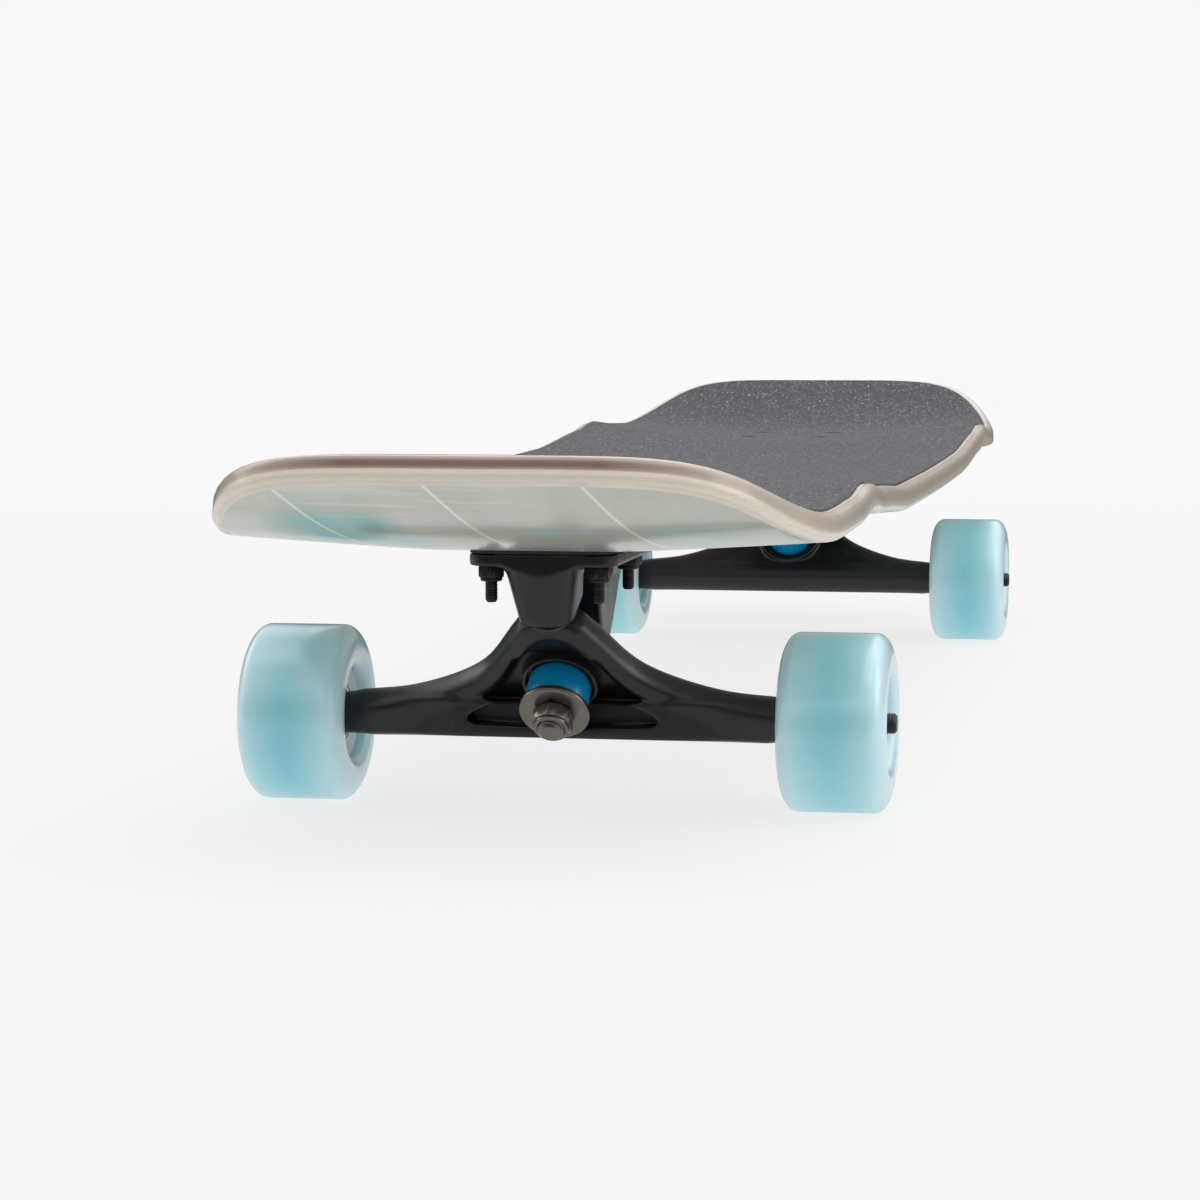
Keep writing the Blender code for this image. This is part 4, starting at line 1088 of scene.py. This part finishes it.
def make_finishes():
    t = settings().truck
    GROUPS.update({"Fine grain": make_grain_group(), "Smudges": make_smudge_group(), "Dust": make_dust_group()})
    make_deck_finishes()
    make_graphic()
    make_grit()
    make_urethanes()
    # Colour, roughness clean and smudged, grain's scale and depth, dust
    paint = (tuple(t.cast_black), (0.32, 0.40), 700.0, 0.00004, 0.02)
    make_grained("cast_satin_black", *paint, metallic=0.0, specular_ior_level=0.55)
    make_grained("gunmetal_nickel", tuple(t.nickel), (0.26, 0.36), 1400.0, 0.00001, 0.03, metallic=1.0)
    make_grained("black_oxide", (0.030, 0.030, 0.032), (0.34, 0.46), 1600.0, 0.00002, 0.05, metallic=0.7)
    make_grained("axle_steel", (0.42, 0.41, 0.39), (0.28, 0.38), 1400.0, 0.00001, 0.02, metallic=1.0)
    make_grained("bearing_steel", (0.60, 0.60, 0.61), (0.16, 0.26), 2200.0, 0.000004, 0.0, metallic=1.0)
    for name, *values in (
        ("riser_rubber", (0.022, 0.022, 0.023), (0.62, 0.78), 800.0, 0.00006),
        ("cup_nylon", (0.045, 0.045, 0.048), (0.42, 0.52), 500.0, 0.00003),
        ("core_nylon", (0.62, 0.76, 0.79), (0.30, 0.40), 500.0, 0.00002),
        ("seal_rubber", (0.016, 0.016, 0.018), (0.45, 0.58), 900.0, 0.00002),
    ):
        make_grained(name, *values, 0.12, 0.8, 60.0, specular_ior_level=0.35)


def recoat(nodes, finish):
    """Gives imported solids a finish."""
    for node in nodes:
        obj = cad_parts[node]
        if not obj.material_slots:
            obj.data.materials.append(FINISHES[finish])
        for slot in obj.material_slots:
            slot.material = FINISHES[finish]


# Operators


class PieceOperator(Operator):
    """Runs make() and finishes; a fault in it stops the script"""

    bl_options = {"REGISTER", "UNDO"}

    def execute(self, context):
        self.make()
        return {"FINISHED"}


class SKATEBOARD_OT_finishes(PieceOperator):
    """Build the shader groups, the materials and the Geometry Nodes trees"""

    bl_idname = "skateboard.finishes"
    bl_label = "Finishes"

    def make(self):
        make_finishes()
        TREES.update({"copies": copies_tree(), "balls": balls_tree(), "thread": thread_tree()})


class SKATEBOARD_OT_deck(PieceOperator):
    """Build the pressed deck: upper veneer, rounded edge of plies and painted lower face"""

    bl_idname = "skateboard.deck"
    bl_label = "Deck"

    def make(self):
        b = settings().board
        r, thick = b.edge_round, b.thickness
        bend = np.linspace(0, math.pi / 2, 6)
        top = [(r * (1 - math.sin(a)), r * (1 - math.cos(a))) for a in bend]
        side = [(0.0, drop) for drop in np.linspace(r, thick - r, 8)[1:-1]]
        low = [(r * (1 - math.cos(a)), thick - r + r * math.sin(a)) for a in bend]
        points, faces, places = board_sheet([*top, *side, *low])
        finishes = ("deck_top_veneer", "deck_edge_plies", "deck_graphic")
        obj = make_mesh("deck_board", points, faces, finishes, places)
        points = np.array(points)
        drop = (board_height(*points.T[:2]) - points[:, 2]) / thick
        depth = obj.data.attributes.new("ply_depth", "FLOAT", "POINT")
        depth.data.foreach_set("value", np.clip(drop, 0, 1).astype(np.float32))
        bore, wide, below, above = 0.0028, 0.0050, 0.09, 0.13
        sink = b.underside + thick - 0.0026
        hole = [(0, below), (bore, below), (bore, sink), (wide, sink + wide - bore), (wide, above), (0, above)]
        cut(obj, hole, bolt_places())
        smoothed(obj.data, 35)
        settle(obj, "board", ["deck"])


class SKATEBOARD_OT_grip(PieceOperator):
    """Build the sheet of abrasive film on the deck"""

    bl_idname = "skateboard.grip"
    bl_label = "Grip tape"

    def make(self):
        b = settings().board
        gap, soft = 0.0003, 0.0003
        inset = b.edge_round + 0.0015
        top = gap + b.grip_thickness
        points, faces, _ = board_sheet([(inset + soft, -top), (inset, soft - top), (inset, -gap)])
        obj = make_mesh("grip_sheet", points, faces, ["grip_grit"])
        hole, below, above = 0.0050, 0.10, 0.13
        cut(obj, [(0, below), (hole, below), (hole, above), (0, above)], bolt_places())
        smoothed(obj.data, 40)
        settle(obj, "board", ["grip_tape"])


def cast_at_both_ends(name, shape, low, high, body, node, rings=()):
    """Draws a casting's skin once, adds its turned rings and stands it at both ends."""
    step = settings().truck.skin_step * 1000 * 1.0
    made = skin(shape, low, high, step)
    at = onto(K, SEAT * 1000)
    for profile in rings:
        points, faces = lathe(rounded(profile, 0.5, 4), 96)
        made = joined(made, ([tuple(at @ Vector(point)) for point in points], faces))
    made = np.asarray(made[0]) / 1000, made[1]
    for end in ENDS:
        names = f"{end}_{name}", made, body.format(end=end), ["cast_satin_black"], node.format(end=end)
        make_piece(*names, "cast", truck_place(end), 60)


class SKATEBOARD_OT_hangers(PieceOperator):
    """Build the cast hangers"""

    bl_idname = "skateboard.hangers"
    bl_label = "Hangers"

    def make(self):
        lip = [(13.3, 1.0), (13.3, 6.4), (14.9, 6.4), (15.4, 1.0)]
        rings = (lip, [(radius, -height) for radius, height in lip])
        low, high = (-26, -92, 18), (48, 92, 92)
        cast_at_both_ends("hanger_casting", hanger_shape, low, high, "{end}_hanger", "{end}_hanger", rings)


class SKATEBOARD_OT_baseplates(PieceOperator):
    """Build the cast baseplates"""

    bl_idname = "skateboard.baseplates"
    bl_label = "Baseplates"

    def make(self):
        low, high = (-44, -31, 52), (59, 31, 104)
        cast_at_both_ends("baseplate_casting", baseplate_shape, low, high, "board", "{end}_baseplate")
        recoat([f"{end}_riser_pad" for end in ENDS], "riser_rubber")
        recoat([f"{end}_pivot_cup" for end in ENDS], "cup_nylon")


STACK = {"seat": 0.0043, "bushing": 0.0150, "washer": 0.0016, "gap": 0.0003}
KINGPIN_RADIUS = 0.0050


def bushing_profile():
    """Both bushings share this waisted outline."""
    near = STACK["seat"]
    far = near + STACK["bushing"]
    outline = [(0.0054, near), (0.0116, near), (0.0122, near + 0.0014), (0.0124, near + 0.0050)]
    outline += [(0.0123, near + 0.0100), (0.0119, far - 0.0012), (0.0112, far), (0.0054, far)]
    return rounded(outline, 0.0009, 4, (0, 7))


def washer_profile():
    """A cupped washer: a flat plate with a rolled rim that holds the bushing."""
    near = STACK["seat"] + STACK["bushing"] + STACK["gap"]
    far = near + STACK["washer"]
    outline = [(0.0054, near), (0.0121, near), (0.0126, near - 0.0010), (0.0137, near - 0.0012)]
    outline += [(0.0138, far - 0.0006), (0.0130, far), (0.0054, far)]
    return rounded(outline, 0.0005, 3)


class SKATEBOARD_OT_kingpins(PieceOperator):
    """Build each truck's kingpin with its bushings, washers and nut"""

    bl_idname = "skateboard.kingpins"
    bl_label = "Kingpins and bushings"

    def make(self):
        kinds = (
            ("bushing", bushing_profile(), "bushing_urethane", "bushing_urethane"),
            ("washer", washer_profile(), "gunmetal_nickel", "steel"),
        )
        for end in ENDS:
            down = truck_place(end) @ onto(K, SEAT)
            for name, sign in (("boardside", -1), ("roadside", 1)):
                for kind, profile, finish, slot in kinds:
                    made = lathe([(r, sign * h) for r, h in profile], 72)
                    node = f"{end}_{name}_{kind}"
                    make_piece(f"{node}_part", made, "board", [finish], node, slot, down, 40)
            self.make_kingpin(end, down)

    def make_kingpin(self, end, down):
        near = STACK["seat"] + STACK["bushing"] + STACK["washer"] + 2 * STACK["gap"]
        nut_end = near + 0.0062
        nut = hex_nut(0.0083, 0.0053, near, nut_end, 0.0009, 72)
        nut = joined(nut, collar(0.0053, 0.0068, 0.0060, nut_end, 0.0012, 0.0016, 0.0004, 48))
        tip, head, r = 0.0315, -0.0433, KINGPIN_RADIUS
        root = r - 0.0003  # of the thread
        pin = [(0, tip - 0.0004), (0.0030, tip - 0.0002), (r - 0.0012, tip), (root, tip - 0.0009), (root, 0.020)]
        pin += [(r, 0.0195), (r, head), (0.0090, head), (0.0090, head - 0.0050)]
        pin += [(0.0085, head - 0.0062), (0, head - 0.0062)]
        finish = "gunmetal_nickel"
        pin = joined(lathe(pin, 48, False), thread(root, 0.0095, 0.0012, 0.00042, tip - 0.0106, finish))
        for node, made in ((f"{end}_kingpin_nut", nut), (f"{end}_kingpin", pin)):
            make_piece(f"{node}_part", made, "board", [finish], node, "steel", down, 32)


class SKATEBOARD_OT_axles(PieceOperator):
    """Build the axles with their threads, and the washers and nuts that hold the wheels"""

    bl_idname = "skateboard.axles"
    bl_label = "Axles and nuts"

    def make(self):
        t = settings().truck
        half, r = t.axle_half, AXLE_RADIUS
        root = r - 0.0002  # of the threads
        rod = [(0, -half), (r - 0.0010, -half), (root, 0.0008 - half), (root, 0.013 - half), (r, 0.0134 - half)]
        rod += [(radius, -height) for radius, height in reversed(rod)]
        parts = [lathe(rod, 40, False)]
        for flip in (0.0, math.pi):
            parts.append(thread(root, 0.0115, 0.0010, 0.00034, half - 0.0124, "black_oxide", flip))
        rod = joined(*parts)
        for end in ENDS:
            place = truck_place(end) @ Matrix.Translation((0, 0, t.axle_height))
            place = place @ Matrix.Rotation(-math.pi / 2, 4, "X")
            node, body = f"{end}_axle", f"{end}_hanger"
            make_piece(f"{node}_rod", rod, body, ["black_oxide"], node, "steel", place, 32)
            for side in ("left", "right"):
                self.make_nut(end, side)

    def make_nut(self, end, side):
        """An axle nut, its collar, and the speed washers of its wheel's outer and inner bearing."""
        middle = BEARING_MIDDLE - settings().wheel.place
        low = middle + 0.0132
        high = low + 0.0052
        made = joined(
            hex_nut(0.0075, AXLE_BORE, low, high, 0.0008, 72),
            collar(AXLE_BORE, 0.0060, 0.0053, high, 0.0010, 0.0014, 0.0002, 40),
            speed_washer(low - 0.0011, low - 0.0002, 0.0002),
            speed_washer(middle - 0.0130, middle - 0.0125, 0.0001),
        )
        node, place = f"{end}_{side}_axle_nut", wheel_place(end, side)
        make_piece(f"{node}_part", made, f"{end}_hanger", ["black_oxide"], node, "black_steel", place, 32)


class SKATEBOARD_OT_hardware(PieceOperator):
    """Build the mounting bolts and their locknuts"""

    bl_idname = "skateboard.hardware"
    bl_label = "Mounting hardware"

    def make(self):
        b = settings().board
        top = b.underside + b.thickness + b.grip_thickness + 0.0001
        neck = b.underside + b.thickness - 0.0022
        r, wide = 0.0024, 0.0046
        root = r - 0.0002  # of the thread
        bolt = [(0, top - 0.0020), (0.0013, top - 0.0018), (0.0019, top - 0.0014), (0.0022, top - 0.0002)]
        bolt += [(0.0024, top), (wide - 0.0004, top), (wide, top - 0.0003), (wide, neck + wide - r), (r, neck)]
        bolt += [(r, 0.1000), (root, 0.0996), (root, 0.0848), (r - 0.0008, 0.0840), (0, 0.0840)]
        bolt = joined(lathe(bolt, 24, False), thread(root, 0.0135, 0.0008, 0.00026, 0.0850, "black_oxide"))
        nut_top = PLATE_BOTTOM - STACK["gap"]
        nut_end = nut_top - 0.0044
        nut = hex_nut(0.0055, 0.0027, nut_end, nut_top, 0.0006)
        nut = joined(nut, collar(0.0027, 0.0042, 0.0037, nut_end, -0.0012, -0.0016, -0.0002, 32))
        spots = [(x, y, 0) for x in reversed(BOLT_XS) for y in (BOLT_Y, -BOLT_Y)]
        for number, end in enumerate(ENDS):
            for name, made, seed in (("bolt", bolt, 11), ("locknut", nut, 21)):
                self.spread(end, name, made, spots, seed + number)

    def spread(self, end, name, made, spots, seed):
        """Copies one bolt or nut to its four places, each turned by chance."""
        pattern = make_mesh("pattern", *made, ["black_oxide"])
        values = {"Piece": pattern, "Most Turn": 2 * math.pi, "Seed": seed, "Material": FINISHES["black_oxide"]}
        mesh = grown(spots, TREES["copies"], values, f"{end}_{name}s_set")
        bpy.data.objects.remove(pattern, do_unlink=True)
        mesh.transform(truck_place(end))
        smoothed(mesh, 32)
        settle(linked(f"{end}_{name}s_set", mesh), "board", [f"{end}_{name}_{n}" for n in range(1, 5)])


CORE_RADIUS = 0.0177  # the hard core shows inside this radius


def wheel_outline():
    """The tyre's outline in (radius, height), where height runs outwards from its middle."""
    w = settings().wheel
    half, tread = w.width / 2, w.tread / 2
    across, drop = half - tread, 0.0105
    middle = BEARING_MIDDLE - w.place
    bend = np.linspace(0, math.pi / 2, 12)
    lip = [(w.radius - drop + drop * math.cos(a), tread + across * math.sin(a)) for a in bend]
    flat = [(w.radius, z) for z in np.linspace(-tread, tread, 7)[1:-1]]
    face = half - 0.0010
    dish = [(0.0222, half - 0.0002), (0.0200, face), (0.0185, face - 0.0012), (0.0176, face - 0.0040)]
    outer = [*lip, *dish, (0.0150, middle + 0.0135), (0.0140, middle + 0.0126), (0.0113, middle + 0.0124)]
    outer += [(0.0113, middle + 0.0053), (0.0095, middle + 0.0053)]
    inner = [(r, -z) for r, z in [*lip, *dish]] + [(0.0150, middle - 0.0135), (0.0140, middle - 0.0126)]
    inner += [(0.0113, middle - 0.0124), (0.0113, middle - 0.0053), (0.0095, middle - 0.0053)]
    return [*flat, *outer, *reversed(inner)]


class SKATEBOARD_OT_wheels(PieceOperator):
    """Build the four urethane wheels"""

    bl_idname = "skateboard.wheels"
    bl_label = "Wheels"

    def make(self):
        points, faces = lathe(wheel_outline(), 128)
        reach = np.hypot(*np.array(points).T[:2])
        marks = [int(max(reach[i] for i in face) < CORE_RADIUS) for face in faces]
        finishes = ("wheel_urethane", "core_nylon")
        for end in ENDS:
            for side in ("left", "right"):
                node, place = f"{end}_{side}_wheel", wheel_place(end, side)
                make_piece(f"{node}_tyre", (points, faces), node, finishes, node, "wheel_urethane", place, 60, marks)
                recoat([f"{end}_{side}_spacer"], "axle_steel")


class SKATEBOARD_OT_bearings(PieceOperator):
    """Build the ball bearings: two rings, a seal on each side and the balls"""

    bl_idname = "skateboard.bearings"
    bl_label = "Bearings"

    def make(self):
        middle = BEARING_MIDDLE - settings().wheel.place
        inner, outer = self.bearing(middle - 0.0123), self.bearing(middle + 0.0056)
        finishes = ("bearing_steel", "seal_rubber")
        for end in ENDS:
            for side in ("left", "right"):
                body, place = f"{end}_{side}_wheel", wheel_place(end, side)
                for name, (made, marks) in (("inner", inner), ("outer", outer)):
                    node = f"{end}_{side}_{name}_bearing"
                    make_piece(f"{node}_set", made, body, finishes, node, "bearing_steel", place, 35, marks)

    def bearing(self, near):
        """A bearing from a height on local Z outwards, and each face's finish."""
        far, mid = near + BEARING_WIDTH, near + BEARING_WIDTH / 2
        outer = [(0.0110, near), (0.0110, far), (0.0096, far), (0.0094, far - 0.0006), (0.0090, far - 0.0012)]
        outer += [(0.0090, near + 0.0012), (0.0094, near + 0.0006), (0.0096, near)]
        inner = [(AXLE_BORE, near), (0.0061, near), (0.0063, near + 0.0008)]
        inner += [(0.0063, far - 0.0008), (0.0061, far), (AXLE_BORE, far)]
        steel = [lathe(rounded(profile, 0.0003), 64) for profile in (outer, inner)]
        count, track = settings().wheel.balls, 0.00765
        turns = [2 * math.pi * i / count for i in range(count)]
        centres = [(track * math.cos(a), track * math.sin(a), mid) for a in turns]
        values = {"Ball Radius": 0.0013, "Fineness": 3, "Material": FINISHES["bearing_steel"]}
        steel.append(parts_of(grown(centres, TREES["balls"], values)))
        seals = []
        for low, high in ((near + 0.0003, near + 0.0008), (far - 0.0008, far - 0.0003)):
            edge = 0.0002 if high > mid else -0.0002
            ring = [(0.0065, low), (0.0070, low - edge), (0.0086, low - edge), (0.0092, low)]
            ring += [(0.0092, high), (0.0086, high - edge), (0.0070, high - edge), (0.0065, high)]
            seals.append(lathe(rounded(ring, 0.0001), 64))
        marks = [0] * sum(len(faces) for _, faces in steel) + [1] * sum(len(faces) for _, faces in seals)
        return joined(*steel, *seals), marks


BACKDROP = (0.948, 0.948, 0.948)


class SKATEBOARD_OT_stage(PieceOperator):
    """Set up the pale floor, the soft lights and the camera"""

    bl_idname = "skateboard.stage"
    bl_label = "Stage"

    def make(self):
        self.make_floor()
        self.make_lights()
        self.make_world()
        self.make_camera()

    def make_floor(self):
        s = settings().stage
        radii, around = (0.6, 1.2, 2.4, 5, 12, 40, 120), 96
        turns = np.linspace(0, 2 * math.pi, around, endpoint=False)
        points = [(0, 0, 0)] + [(r * math.cos(a), r * math.sin(a), 0) for r in radii for a in turns]
        faces = [(0, 1 + i, 1 + (i + 1) % around) for i in range(around)]
        for low in range(1, around * (len(radii) - 1), around):
            high = low + around
            nexts = ((i, (i + 1) % around) for i in range(around))
            faces += [(low + i, high + i, high + j, low + j) for i, j in nexts]
        finish = bpy.data.materials.new("studio_floor")
        finish.use_nodes = True
        FINISHES["studio_floor"] = finish
        tree = finish.node_tree
        tree.nodes.clear()
        place = tree.nodes.new("ShaderNodeTexCoord").outputs["Object"]
        share = between(tree, distance(tree, place), 0.7, 1.6, 0.80, 1.0)
        matt = add_node(tree, "ShaderNodeBsdfDiffuse", {"Color": (*s.floor, 1)})
        along = sums(tree, "ABSOLUTE", component(tree, place, 0))
        mirrored = tree.nodes.new("ShaderNodeLightPath").outputs["Is Glossy Ray"]
        dim = sums(tree, "MULTIPLY", mirrored, between(tree, along, 0.46, 0.80, 0.25, 0.96))
        bright = mixed(tree, dim, BACKDROP, (0.0, 0.0, 0.0))
        share = sums(tree, "MAXIMUM", share, dim)
        glow = add_node(tree, "ShaderNodeEmission", {"Color": bright, "Strength": 1.0})
        both = add_node(tree, "ShaderNodeMixShader", {0: share, 1: matt, 2: glow})
        tree.links.new(both, tree.nodes.new("ShaderNodeOutputMaterial").inputs["Surface"])
        make_mesh("studio_floor", points, faces, ["studio_floor"])

    def make_lights(self):
        s = settings().stage
        lights = (
            ("overhead", (0.1, 0.3, 1.9), (0, 0, 0), (2.4, 2.0), s.key_power),
            ("left_side", (0.2, 2.0, 1.1), (0, 0, 0.1), (1.4, 1.4), s.side_power),
            ("right_side", (-0.4, -2.0, 1.3), (0, 0, 0.1), (1.4, 1.4), s.side_power * 0.7),
        )
        for name, at, target, (wide, deep), power in lights:
            lamp = bpy.data.lights.new(name, "AREA")
            lamp.shape, lamp.size, lamp.size_y, lamp.energy = "RECTANGLE", wide, deep, power
            obj = linked(name, lamp)
            obj.location = at
            obj.rotation_euler = (Vector(target) - Vector(at)).to_track_quat("-Z", "Y").to_euler()

    def make_world(self):
        """Plain for the camera, even for matt surfaces, and a room for glossy ones."""
        world = bpy.data.worlds.new("studio")
        bpy.context.scene.world = world
        world.use_nodes = True
        tree = world.node_tree
        tree.nodes.clear()
        direction = tree.nodes.new("ShaderNodeTexCoord").outputs["Generated"]
        front, height = component(tree, direction, 0), component(tree, direction, 2)
        around = ramp(tree, height, [(0.0, 0.62), (0.35, 0.85), (0.6, 1.0), (1.0, 1.0)])
        ahead = ramp(tree, height, [(0.0, 0.03), (0.22, 0.06), (0.42, 0.55), (0.62, 1.0)])
        room = mixed(tree, between(tree, sums(tree, "ABSOLUTE", front), 0.15, 0.60), around, ahead)
        room = mixed(tree, 1.0, room, (1.7, 1.7, 1.72), "MULTIPLY")
        path = tree.nodes.new("ShaderNodeLightPath").outputs
        sky = mixed(tree, path["Is Glossy Ray"], (0.50, 0.50, 0.50), room)
        sky = mixed(tree, path["Is Camera Ray"], sky, BACKDROP)
        light = add_node(tree, "ShaderNodeBackground", {"Color": sky, "Strength": 1.0})
        tree.links.new(light, tree.nodes.new("ShaderNodeOutputWorld").inputs[0])
        bpy.context.scene.view_settings.view_transform = "Standard"

    def make_camera(self):
        camera = bpy.data.cameras.new("camera")
        camera.lens, camera.sensor_width = settings().stage.lens, 36
        camera.clip_start, camera.clip_end = 0.05, 500
        obj = linked("camera", camera)
        yaw, pitch, roll = (math.radians(a) for a in (10.686, 5.226, -0.117))
        look = Vector((-math.cos(pitch) * math.cos(yaw), -math.cos(pitch) * math.sin(yaw), -math.sin(pitch)))
        turn = look.to_track_quat("-Z", "Y").to_matrix() @ Matrix.Rotation(roll, 3, "Z")
        obj.matrix_world = Matrix.Translation((1.6042, 0.2529, 0.1997)) @ turn.to_4x4()
        bpy.context.scene.camera = obj


OPERATORS = (
    SKATEBOARD_OT_finishes,
    SKATEBOARD_OT_deck,
    SKATEBOARD_OT_grip,
    SKATEBOARD_OT_hangers,
    SKATEBOARD_OT_baseplates,
    SKATEBOARD_OT_kingpins,
    SKATEBOARD_OT_axles,
    SKATEBOARD_OT_hardware,
    SKATEBOARD_OT_wheels,
    SKATEBOARD_OT_bearings,
    SKATEBOARD_OT_stage,
)


class SKATEBOARD_PT_panel(Panel):
    """Lists the operators that build the skateboard"""

    bl_idname = "SKATEBOARD_PT_panel"
    bl_label = "Skateboard"
    bl_space_type = "VIEW_3D"
    bl_region_type = "UI"
    bl_category = "Skateboard"

    def draw(self, context):
        for operator in OPERATORS:
            self.layout.operator(operator.bl_idname)


SETTINGS = (BoardSettings, TruckSettings, WheelSettings, StageSettings, SkateboardSettings)
CLASSES = (*SETTINGS, *OPERATORS, SKATEBOARD_PT_panel)


def register():
    for each in CLASSES:
        bpy.utils.register_class(each)
    bpy.types.Scene.skateboard = PointerProperty(type=SkateboardSettings)


def unregister():
    del bpy.types.Scene.skateboard
    for each in reversed(CLASSES):
        bpy.utils.unregister_class(each)


def main():
    register()
    for operator in OPERATORS:
        group, name = operator.bl_idname.split(".")
        getattr(getattr(bpy.ops, group), name)()


if __name__ == "__main__":
    main()
